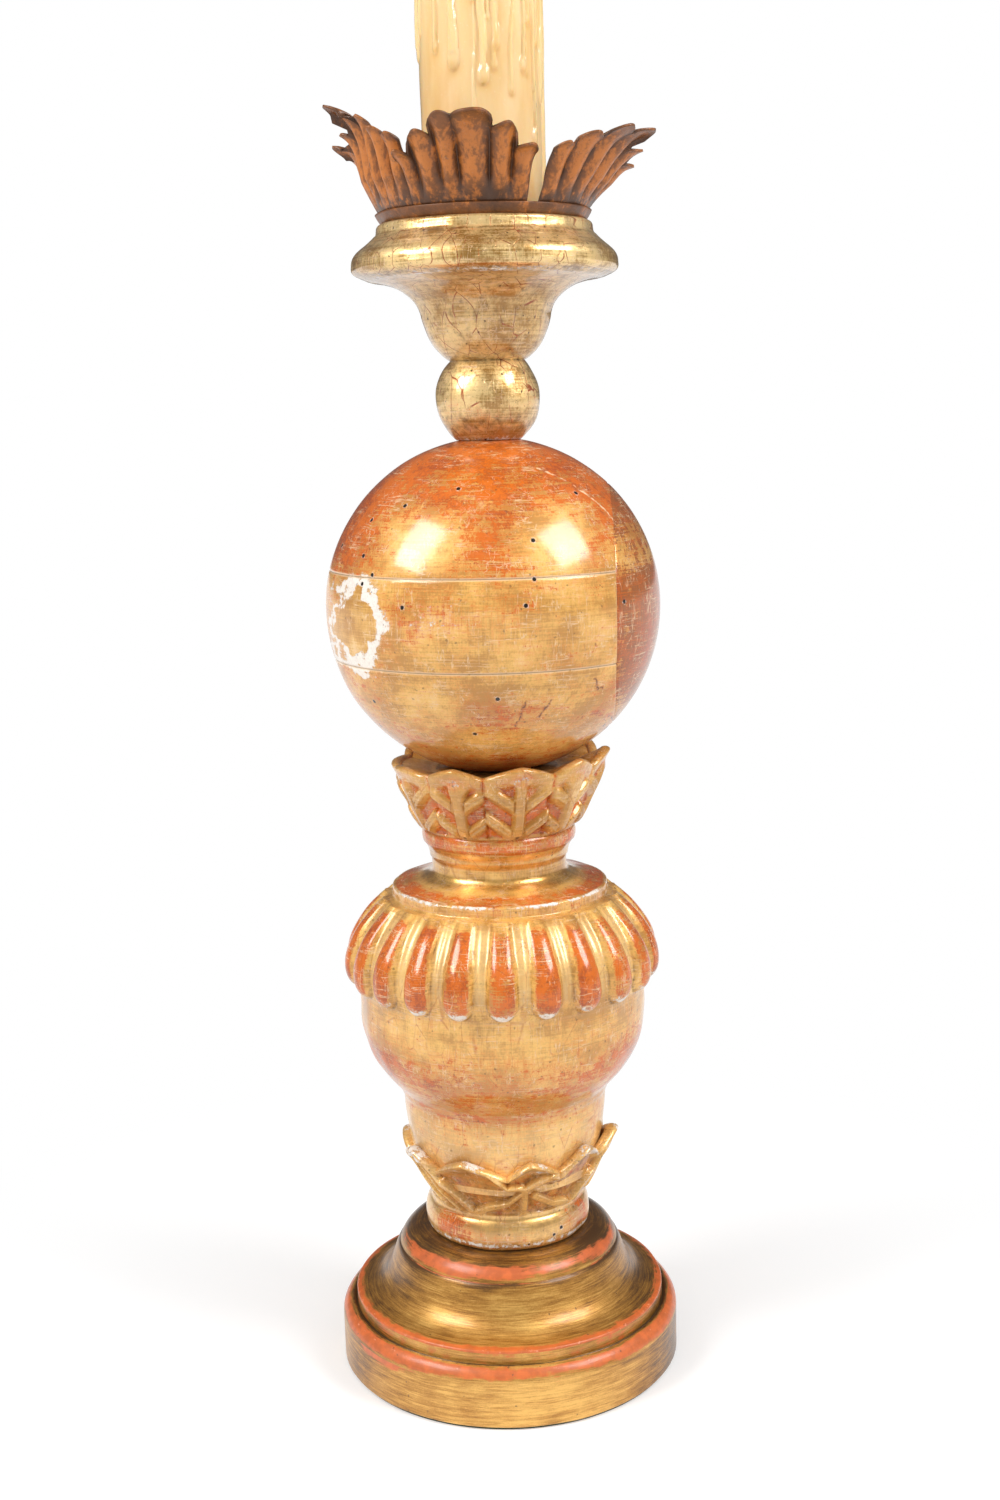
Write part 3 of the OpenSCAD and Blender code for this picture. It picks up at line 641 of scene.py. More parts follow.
def bronzed_paint(colours):
    """Bronze paint brushed round the foot in fine strokes, rubbed to red where the bole mask says so, and
    with shade painted in by the light mask.

    The strokes are noise drawn out along the turning, as it is sampled at a small share of x and y and at the
    climb z less the radius."""
    bare_edge = (0.82, 0.36, 0.20)
    scratch = ((-15, -54.5, 34.5), (-14.2, -51.5, 39))
    f = Finish("bronzed_foot")
    out = f.maths("SQRT", f.maths("ADD", f.maths("MULTIPLY", f.x, f.x), f.maths("MULTIPLY", f.y, f.y)))
    climb = f.maths("SUBTRACT", f.z, out)

    def drawn_out(share):
        """The place with its way round the foot drawn out."""
        path = f.node("ShaderNodeCombineXYZ")
        f.join(f.maths("MULTIPLY", f.x, share), path.inputs["X"])
        f.join(f.maths("MULTIPLY", f.y, share), path.inputs["Y"])
        f.join(climb, path.inputs["Z"])
        return path.outputs[0]

    broad = f.noise(2.0, 5, 0.70, at=drawn_out(0.11), twist=0.5)
    fine = f.noise(0.60, 5, 0.74, at=drawn_out(0.05), twist=0.5)
    cloud = f.noise(22, 3)
    grain = f.noise(0.6, 3)
    # The light mask darkens the bronze as painted shade: at the sides, on the plinth's right and high on the
    # dome.
    tone = f.total(f.mask("light"), f.spread(broad, 0.85), f.spread(fine, 1.2), f.spread(cloud, 0.8),
                   f.spread(grain, 0.3))
    paint = f.mix(f.step(tone, 0.05, 0.55), colours.bronze, colours.bronze_mid)
    paint = f.mix(f.step(tone, 0.40, 0.95), paint, colours.bronze_light)
    rub = f.total(f.mask("bole"), f.spread(broad, 0.8), f.spread(fine, 0.5), f.spread(f.noise(5, 5), 0.7))
    red = f.step(rub, 0.34, 0.58)
    rose = f.mix(f.step(f.noise(4, 5), 0.35, 0.65), colours.foot_red, [0.76 * c for c in colours.foot_red])
    paint = f.mix(f.total((red, 0.94)), paint, rose)
    edge = f.step(f.total(f.mask("gesso"), f.spread(f.noise(2.6, 5), 1.0), f.spread(grain, 0.4)), 0.50, 0.62)
    paint = f.mix(f.total((edge, 0.65)), paint, bare_edge)
    # Darkening from the dirt mask: in the quirk, and painted shade high on the dome under the ring.
    grime_and_shade = f.step(f.total(f.mask("dirt"), f.spread(f.noise(3, 5), 1.3), f.spread(grain, 0.4)), 0.35, 0.75)
    paint = f.mix(f.total((grime_and_shade, 0.85)), paint, colours.dirt)
    spots = f.step(f.total(f.specks(6), f.spread(grain, 0.2)), 0.09, 0.05)
    paint = f.mix(f.total((spots, 0.6)), paint, colours.dirt)
    scar = f.step(near_lines(f, [scratch], 0.4), 0.55, 0.25)
    paint = f.mix(f.total((scar, 0.7)), paint, colours.dirt)
    metal = f.between(red, 0.58, 0.0)
    rough = f.total(f.between(red, 0.28, 0.36), (fine, 0.20))
    height = f.total((broad, 0.6), (fine, 0.8), (red, -0.4), (spots, -0.6))
    return f.done(paint, rough, metal, f.bump(height, 0.10), coat_weight=0.5, coat_roughness=0.22)


def tole(colours):
    """Rust-brown painted sheet iron: orange streaks and a painted highlight on the ribs' crests, brown edges,
    valleys darkened by painted shade, a little bloom.
    """
    grey_bloom = (0.42, 0.30, 0.22)
    f = Finish("toleware")
    cloud = f.noise(9, 4)
    patch = f.noise(3.2, 6, 0.66)
    grain = f.noise(0.7, 4, 0.66)
    run = f.noise(2.2, 4, 0.6, at=f.stretched(1.2, 1.2, 0.35))
    # The rib mask darkens the valleys between the ribs: painted shade.
    high = f.total(f.mask("rib"), f.spread(cloud, 1.2), f.spread(patch, 0.9), f.spread(grain, 0.4))
    paint = f.mix(f.step(high, 0.0, 0.80), colours.dark_rust_and_shade, colours.rust)
    # The glow mask paints the ribs' crests orange: a painted highlight, broken by streaks.
    warm = f.total(f.mask("glow"), f.spread(run, 2.0), f.spread(patch, 1.4), f.spread(cloud, 1.6),
                   f.spread(grain, 0.4))
    paint = f.mix(f.total((f.step(warm, 0.25, 0.85), 0.92)), paint, colours.rust_streak_and_highlight)
    stain = f.step(f.total(f.spread(f.noise(4.5, 6, 0.68), 1.6), f.spread(grain, 0.5)), 0.10, 0.36)
    paint = f.mix(f.total((stain, 0.62)), paint, colours.dark_rust_and_shade)
    rim = f.step(f.total(f.mask("edge"), f.spread(patch, 1.2), f.spread(cloud, 1.0)), 0.30, 0.95)
    paint = f.mix(f.total((rim, 0.42)), paint, colours.dark_rust_and_shade)
    dust = f.spread(f.noise(0.45, 3, 0.7), 1.0)
    bloom = f.step(f.total(dust, f.spread(cloud, 1.0), f.spread(patch, 0.6)), 0.16, 0.36)
    paint = f.mix(f.total((bloom, 0.30)), paint, grey_bloom)
    rough = f.total((patch, 0.30), (grain, 0.15), 0.18)
    height = f.total((patch, 1.0), (grain, 0.5), (bloom, 0.25))
    return f.done(paint, rough, 0.10, f.bump(height, 0.22), coat_weight=0.20, coat_roughness=0.25)


def wax_finish(colours):
    """Warm cream wax: light passes into it, runs are glossy and pale, and a darker, yellower shadow is
    painted under the drops.
    """
    pale_wax = (0.99, 0.88, 0.64)
    f = Finish("wax")
    cloud = f.noise(13, 3, at=f.stretched(1, 1, 0.25))
    veil = f.noise(3, 4, at=f.stretched(1, 1, 0.22))
    thick = f.mask("drip")
    # The under mask darkens the wax below each drop: a painted shadow.
    tone = f.total(f.spread(cloud, 1.5), f.spread(veil, 0.5), (f.mask("under"), 0.6), (thick, -0.35), 0.34)
    paint = f.mix(f.step(tone, 0.0, 1.0), colours.wax, colours.wax_deep_and_shadow)
    paint = f.mix(f.total((f.step(f.noise(1.1, 3), 0.60, 0.75), 0.15)), paint, pale_wax)
    rough = f.total(f.between(thick, 0.30, 0.08), (veil, 0.10))
    height = f.total((veil, 0.6), (f.noise(1.4, 3), 0.2))
    return f.done(
        paint, rough, 0.0, f.bump(height, 0.16), subsurface_weight=0.30, subsurface_scale=0.005,
        subsurface_radius=(1.0, 0.55, 0.22), coat_weight=0.8, coat_roughness=0.08)


def charred_cotton():
    """Burnt cotton: black and brown strands with grey ash."""
    char = (0.012, 0.010, 0.009)
    singed = (0.05, 0.038, 0.03)
    grey_ash = (0.16, 0.15, 0.14)
    f = Finish("wick")
    twist = f.noise(0.5, 3, at=f.stretched(1.0, 1.0, 0.35))
    ash = f.step(f.noise(0.9, 4), 0.55, 0.75)
    paint = f.mix(twist, char, singed)
    paint = f.mix(f.total((ash, 0.4)), paint, grey_ash)
    return f.done(paint, f.total((twist, 0.2), 0.75), 0.0, f.bump(twist, 0.2))


def wrought_iron(colours):
    """Forged iron with dull scale and a little brown rust."""
    f = Finish("wrought_iron")
    scale = f.noise(3.5, 6, 0.65)
    grain = f.noise(0.6, 3)
    rust = f.step(f.total((f.noise(7, 5, 0.6), 1.0), (grain, 0.2)), 0.58, 0.78)
    paint = f.mix(scale, colours.iron, [1.9 * c for c in colours.iron])
    paint = f.mix(f.total((rust, 0.6)), paint, colours.dark_rust_and_shade)
    rough = f.total((scale, 0.3), (rust, 0.2), 0.32)
    return f.done(paint, rough, f.between(rust, 0.85, 0.1), f.bump(f.total((scale, 0.8), (grain, 0.4)), 0.12))


def wool_baize(colours):
    """Short matted wool, worn thin in places."""
    bare_cloth = (0.10, 0.10, 0.06)
    f = Finish("baize")
    felt = f.noise(0.5, 4, 0.7)
    worn = f.noise(12, 3)
    paint = f.mix(felt, [0.6 * c for c in colours.baize], [1.5 * c for c in colours.baize])
    paint = f.mix(f.total((f.step(worn, 0.5, 0.8), 0.4)), paint, bare_cloth)
    return f.done(paint, f.total((felt, 0.1), 0.85), 0.0, f.bump(felt, 0.3))


# Shapes of the turned pieces

def foot_profile(s):
    """The foot's section as a closed loop: recess, plinth, quirk, fillet, hollow dome, top and rod hole."""
    unevenness = 0.2
    r = s.width / 2 - unevenness
    plinth = s.bottom + s.plinth
    fillet = plinth + s.fillet
    fillet_r = s.fillet_width / 2
    dome_r = s.dome_width / 2
    dome = s.top - fillet
    flat = s.flat_width / 2
    return [
        ("under", line((NUT_RECESS, s.bottom), (r - 0.9, s.bottom), 6)),
        ("wall", arc((r - 0.8, s.bottom + 0.8), 0.8, -80, 0, 4)),
        ("wall", line((r, s.bottom + 2), (r, plinth - s.rounding - 0.3), 12)),
        ("lip", bezier((r, plinth - s.rounding), (r, plinth - 0.5 * s.rounding),
                       (r - 0.4 * (r - fillet_r), plinth), (fillet_r + 1.5, plinth), 16)),
        ("quirk", np.array([(fillet_r + 0.9, plinth - 0.5), (fillet_r + 0.4, plinth - 0.9),
                            (fillet_r + 0.05, plinth - 0.6)])),
        ("fillet", line((fillet_r, plinth - 0.2), (fillet_r, fillet - 1.1), 5)),
        ("edge", arc((fillet_r - 0.9, fillet - 0.9), 0.9, 5, 85, 5)),
        ("shelf", bezier((fillet_r - 2.2, fillet + 0.02 * dome), (dome_r + 1.7, fillet + 0.03 * dome),
                         (dome_r + 1.6, fillet + 0.64 * dome), (dome_r - 1.4, fillet + 0.70 * dome), 44)),
        ("swell", bezier((dome_r - 1.6, fillet + 0.72 * dome), (dome_r - 3, fillet + 0.90 * dome),
                         (flat + 0.4 * (dome_r - flat), s.top), (flat, s.top), 24)),
        ("top", line((flat - 1, s.top), (ROD_HOLE, s.top), 5)),
        ("bore", line((ROD_HOLE, s.top - 1), (ROD_HOLE, s.bottom + s.recess), 4)),
        ("bore", line((6, s.bottom + s.recess), (NUT_RECESS, s.bottom + s.recess), 3)),
        ("bore", line((NUT_RECESS, s.bottom + s.recess - 1), (NUT_RECESS, s.bottom + 1), 3)),
    ]


def cup_profile(s):
    """The cup's section as a closed loop: knop, crease, bowl, soffit, rim, lip, recess and rod hole."""
    knop = s.knop_width / 2
    seat = s.foot_width / 2
    crease = s.crease_width / 2
    bowl = s.bowl_width / 2
    rim = s.width / 2
    lip = s.lip_width / 2
    z_knop = s.bottom + math.sqrt(knop**2 - seat**2)
    z_crease = z_knop + math.sqrt(knop**2 - crease**2)
    z_soffit = s.top - s.rim
    rise = z_soffit - z_crease
    from_angle = -math.degrees(math.acos(seat / knop))
    to_angle = math.degrees(math.acos(crease / knop))
    return [
        ("under", line((ROD_HOLE, s.bottom), (seat - 0.8, s.bottom), 3)),
        ("knop", arc((0, z_knop), knop, from_angle, to_angle, 52)),
        ("bowl", bezier((crease + 0.4, z_crease + 0.3),
                        (crease + 0.42 * (bowl - crease), z_crease + 0.08 * rise),
                        (bowl - 1.2, z_crease + 0.30 * rise), (bowl, z_crease + 0.54 * rise), 24)),
        ("bowl", bezier((bowl + 0.1, z_crease + 0.57 * rise), (bowl + 0.8, z_crease + 0.70 * rise),
                        (bowl + 0.15 * (rim - bowl), z_crease + 0.92 * rise), (rim - 7.4, z_soffit), 26)),
        ("soffit", np.array([(rim - 6.2, z_soffit + 0.1), (rim - 4.6, z_soffit + 0.55),
                             (rim - 3.4, z_soffit + 1.1), (rim - 2.4, z_soffit + 1.5)])),
        ("roll", bezier((rim - 1.4, z_soffit + 2), (rim, z_soffit + 2.8),
                        (rim + 0.2, z_soffit + 4), (rim, z_soffit + 0.27 * s.rim), 9)),
        ("ogee", bezier((rim, z_soffit + 0.30 * s.rim), (rim, z_soffit + 0.50 * s.rim),
                        (lip + 4.4, z_soffit + 0.58 * s.rim), (lip + 1.2, z_soffit + 0.76 * s.rim), 24)),
        ("lip", np.array([(lip + 0.5, z_soffit + 0.79 * s.rim), (lip + 0.1, z_soffit + 0.83 * s.rim)])),
        ("lip", arc((lip - 1.6, s.top - 1.6), 1.6, 0, 90, 8)),
        ("top", line((lip - 3, s.top), (NUT_RECESS, s.top), 4)),
        ("recess", line((NUT_RECESS, s.top - 1), (NUT_RECESS, s.top - s.recess), 3)),
        ("recess", line((NUT_RECESS - 1, s.top - s.recess), (ROD_HOLE, s.top - s.recess), 3)),
        ("recess", line((ROD_HOLE, s.top - s.recess - 1), (ROD_HOLE, s.bottom + 1), 6)),
    ]


def profile_rows(profile):
    """A profile's points as radius and height, one row each, and each row's part by name."""
    points = np.concatenate([points for part, points in profile])
    parts = np.concatenate([np.full(len(points), part, dtype="<U12") for part, points in profile])
    return points[:, :1], points[:, 1:], parts


def part_share(parts, name):
    """For each row, how far it is along the named part from 0 to 1, and where it isn't, -9."""
    here = parts == name
    share = np.full(len(parts), -9.0)
    share[here] = np.linspace(0, 1, here.sum())
    return share[:, None]


class CANDLESTICK_OT_foot(bpy.types.Operator):
    """Turn the foot: plinth, fillet and hollow dome, with red bands rubbed along its edges"""
    bl_idname = "candlestick.foot"
    bl_label = "Foot"

    def execute(self, context):
        s = in_millimetres(context.scene.candlestick_foot)
        angle = directions(360)[None, :]
        radius, height, parts = profile_rows(foot_profile(s))
        points = roughen(turned(radius, angle, height), 0.10, 26, seed=3)
        lip = part_share(parts, "lip")
        swell = part_share(parts, "swell")
        shelf = part_share(parts, "shelf")
        turn = degrees_from_front(angle)
        left = hump(turn, -38, 34) + 0.55 * hump(turn, 4, 26) + 0.75 * hump(turn, 62, 26)
        band = 0.30 + 0.55 * np.clip(left, 0, 1)
        bole = 1.10 * hump(lip, 0.48, 0.40) * (0.80 + 0.20 * np.cos(angle * 3 + 1))
        bole = np.maximum(bole, 0.38 * (parts == "fillet")[:, None])
        bole = np.maximum(bole, 0.85 * (parts == "edge")[:, None])
        bole = np.maximum(bole, 0.45 * hump(shelf, 0.0, 0.05))
        bole = np.maximum(bole, band * np.maximum(hump(swell, 0.25, 0.26), 0.8 * hump(shelf, 1.02, 0.05)))
        wall = (parts == "wall")[:, None]
        drip = hump(turn, -50, 12) * smooth(height, s.bottom + 12, s.bottom + 19)
        bole = np.maximum(bole, wall * (0.85 * drip + 0.35 * smooth(height, s.bottom + 15, s.bottom + 19)))
        gesso = np.maximum(0.45 * hump(lip, 0.60, 0.10), 0.42 * (parts == "edge")[:, None])
        # Dark in the quirk, at the lip's inner end, on the hidden top and high on the swell under the
        # baluster's ring; the dark under the ring is painted shade.
        dirt = np.maximum(0.9 * (parts == "quirk")[:, None], 0.55 * hump(lip, 1.0, 0.14))
        dirt = np.maximum(dirt, 0.85 * (parts == "top")[:, None])
        dirt = np.maximum(dirt, 0.42 * smooth(swell, 0.55, 0.9))
        # The light mask is painted shade: the foot is darker towards its sides as seen from the front, on the
        # plinth's right, high on the dome's swell under the ring and where the hollow meets the swell.
        side = np.abs(np.sin(np.radians(turn)))
        light = np.where(wall, 0.66, 0.64) - 0.22 * smooth(side, 0.30, 1.0) - 0.32 * smooth(swell, -0.1, 0.4)
        light = light - 0.4 * smooth(shelf, 0.75, 1.0) - 0.08 * (shelf > 0)
        light = light - 0.36 * wall * smooth(turn, 30, 75) * (1 - smooth(turn, 110, 165))
        masks = {"bole": bole, "gesso": gesso, "dirt": dirt, "light": light}
        material = bronzed_paint(context.scene.candlestick_colours)
        make_piece("turned_foot", points, "stick", ["foot"], material, masks=masks)
        return {"FINISHED"}


# The carved baluster

# Edges and midribs of the hand-spaced carved leaves, in degrees from the front.
CALYX_EDGES = np.array([-80, -42, -8, 33, 65, 101, 138, 175, 211, 247, 280])
CALYX_RIBS = np.array([-62, -24, 13, 48, 83, 119, 156, 193, 229, 264])
COLLAR_EDGES = np.array([-80, -44, 0, 32, 66, 101, 138, 175, 211, 247, 280])
COLLAR_RIBS = np.array([-62, -24, 13, 49, 84, 119, 156, 193, 229, 264])


def leaf_position(angle, edges, ribs):
    """The place across a leaf, from -1 through 0 on its midrib to 1, that half's width, the leaf's number."""
    turn = (np.degrees(angle - FRONT) - edges[0]) % 360 + edges[0]
    number = np.clip(np.searchsorted(edges, turn, side="right") - 1, 0, len(ribs) - 1)
    below = ribs[number] - edges[number]
    above = edges[number + 1] - ribs[number]
    half = np.where(turn < ribs[number], below, above)
    return (turn - ribs[number]) / half, np.radians(half), number


# The lower leaves' crossing straps: points as degrees from the front and share of the height, then half the
# strap's width in millimetres.
COLLAR_STRAPS = [
    ([(-24, 0.04), (11, 0.56), (28, 0.90), (46, 1.1)], 1.5),
    ([(-24, 0.04), (-37, 0.50), (-50, 0.95), (-60, 1.1)], 1.6),
    ([(-33, 0.02), (-46, 0.50), (-58, 0.95)], 0.8),
    ([(-44, 0.02), (-57, 0.50), (-73, 1.1)], 1.2),
    ([(11, 0.0), (11, 0.56)], 1.2),
    ([(11, 0.56), (-9, 1.0)], 1.2),
    ([(18, 0.42), (42, 0.12)], 1.9),
    ([(50, 0.05), (62, 0.5), (76, 1.0)], 1.4),
    ([(80, 0.05), (98, 0.9)], 1.3),
]


def leaf_carving(across, side, along, narrow):
    """The relief of one calyx leaf: a flat midrib and straight flat bands that rise away from it.

    The bands are a clipped cosine of the height less a share of the distance from the midrib. On a narrow
    leaf the midrib widens upwards into a plain triangle."""
    bands = 2.4
    slope = 0.032
    half = 1.7 + 4.5 * narrow * smooth(along, 0.45, 1.0)
    midrib = 1.3 * (1 - smooth(side, half - 0.4, half + 0.4)) * (1 - smooth(along, 0.74, 0.9))
    wave = np.cos(2 * math.pi * bands * (along - slope * side))
    straps = 1.25 * np.clip(1.9 * wave - 0.15, -1, 1)
    score = -0.45 * hump(wave, 1.0, 0.02)
    field = smooth(side, half + 0.2, half + 1.2) * (1 - smooth(along, 0.72, 0.88))
    groove = -1.1 * np.abs(across)**16
    return midrib + (straps + score) * field + groove


def strap_carving(angle, across, along, reach, height):
    """The relief of the lower leaves: straps that stand out within half a width of their lines.

    What is carved at the front is carved again at the back. The distance to a line is taken on the unrolled
    face."""
    turn = np.degrees(angle - FRONT)
    proud = np.zeros(np.broadcast_shapes(angle.shape, along.shape))
    for points, half in COLLAR_STRAPS:
        for (turn_a, along_a), (turn_b, along_b) in zip(points[:-1], points[1:]):
            aside = np.radians((turn - turn_a + 90) % 180 - 90) * reach
            rise = (along - along_a) * height
            way_aside = math.radians(turn_b - turn_a) * reach
            way_rise = (along_b - along_a) * height
            share = np.clip((aside * way_aside + rise * way_rise) / (way_aside**2 + way_rise**2), 0, 1)
            away = np.hypot(aside - share * way_aside, rise - share * way_rise)
            proud = np.maximum(proud, 1 - smooth(away, half - 0.4, half + 0.7))
    groove = -0.9 * np.abs(across)**16 * smooth(along, 0.6, 0.9)
    return (2.9 * proud - 1.8) * (1 - smooth(along, 0.88, 1.0)) + groove


def carved_collar(angle, edges, ribs, low, z_low, tip, z_tip, swell, notch, wall, floor, z_floor,
                  lifts, leans, roll, strapped):
    """Rows over a collar of carved leaves: up their outer faces, over their thick edges and down behind them.

    A leaf's face flares as a power of its height, and its edge falls away from the tip to either side. Given
    are radius, height, the climb from 0 to 1 up the face and 2 behind it, the relief and the place across."""
    across, half, number = leaf_position(angle, edges, ribs)
    lift = np.asarray(lifts)[number]
    fall = np.abs(across)**1.3
    edge = tip - 2.2 * fall + np.asarray(leans)[number] * (1 - fall)
    top = z_tip - notch * fall + lift * (1 - fall) - 0.4 * wall
    along = np.linspace(0, 1, 48)[:, None]
    reach = low + (tip - low) * along
    if strapped:
        field = strap_carving(angle, across, along, reach, z_tip - z_low)
    else:
        field = leaf_carving(across, np.abs(across) * half * reach, along, smooth(-half, -0.33, -0.28))
    relief = field * smooth(along, 0.0, 0.08) + roll * hump(along, 1.0, 0.11) * (1 - 0.75 * across**2)
    face_r = low + (edge - low) * along**swell + relief
    face_z = z_low + (top - z_low) * along
    over = np.linspace(0, math.pi, 8)[1:-1, None]
    rim = 0.5 * (wall + relief[-1])
    lip_r = edge + relief[-1] - rim + rim * np.cos(over)
    lip_z = top + 0.4 * wall * np.sin(over)
    down = np.linspace(0, 1, 8)[:, None]
    back_r = (edge - wall) + (floor - edge + wall) * down**0.8
    back_z = top + (z_floor - top) * down
    radius = np.concatenate([face_r, lip_r, back_r])
    height = np.concatenate([face_z, lip_z, back_z])
    shape = radius.shape
    climb = np.concatenate([along, np.ones_like(over), np.full_like(down, 2.0)])
    carve = np.concatenate([
        relief, np.broadcast_to(relief[-1], (len(over), shape[1])), np.zeros((len(down), shape[1]))])
    return radius, height, np.broadcast_to(climb, shape), carve, across


def gadroon_rows(s, angle, z_belly):
    """Rows over the gadroons: a wall that carries on from the belly, with half-round lobes on it.

    A lobe stands out from the wall to the crown line by the root of 1 less the squares of the distance across
    it and of the distance into its round end. Between the lobes the wall is scooped by a squared sine."""
    crown_r = s.gadroon_width / 2
    low_r = s.belly_width / 2
    top_r = s.shoulder_width / 2 + 4
    z_top = z_belly + s.gadroon
    z_end = z_belly + 0.12 * s.gadroon
    z_swell = z_end + 0.21 * s.gadroon
    crown = np.concatenate([
        line((crown_r - 0.3, z_end), (crown_r, z_swell), 19),
        bezier((crown_r - 0.05, z_swell + 0.04 * s.gadroon), (crown_r - 0.4, z_swell + 0.22 * s.gadroon),
               (0.65 * crown_r + 0.35 * top_r, z_top - 0.22 * s.gadroon), (top_r, z_top - 0.2), 21),
    ])
    steps = np.linalg.norm(np.diff(crown, axis=0), axis=1)
    along = np.concatenate([[0], np.cumsum(steps)])[:, None] / steps.sum()
    z = crown[:, 1:]
    turn = (angle - FRONT) / (2 * math.pi) * s.gadroons
    across = turn - np.round(turn)
    share = 0.375 - 0.12 * along
    end = np.clip((z_swell - z) / (z_swell - z_end), 0, 1)
    reach = np.hypot(across / share, end)
    lobe = np.sqrt(np.clip(1 - reach**2, 0, 1))
    depth = s.gadroon_depth * (1 - 0.72 * along)
    wall = low_r + (crown[:, :1] - depth - low_r) * smooth(z, z_belly, z_swell)
    channel = np.clip((np.abs(across) - share) / (0.5 - share), 0, 1)
    scoop = 0.16 * depth * np.sin(math.pi * channel)**2 * (1 - end)
    radius = wall + (crown[:, :1] - wall) * lobe - scoop
    height = z - 0.4 * (crown[:, :1] - radius) * along
    return radius, height, along, end, reach, np.round(turn).astype(int) % s.gadroons


def worm_holes_in_ring(s):
    """Beetle holes low on the right of the ring, by degrees from the front and height above its foot."""
    ring = s.ring_width / 2
    spots = [(14, 2.6), (33, 4.6), (39, 6.8)]
    return [turned(ring + 0.2, FRONT + math.radians(turn), s.bottom + up) for turn, up in spots]


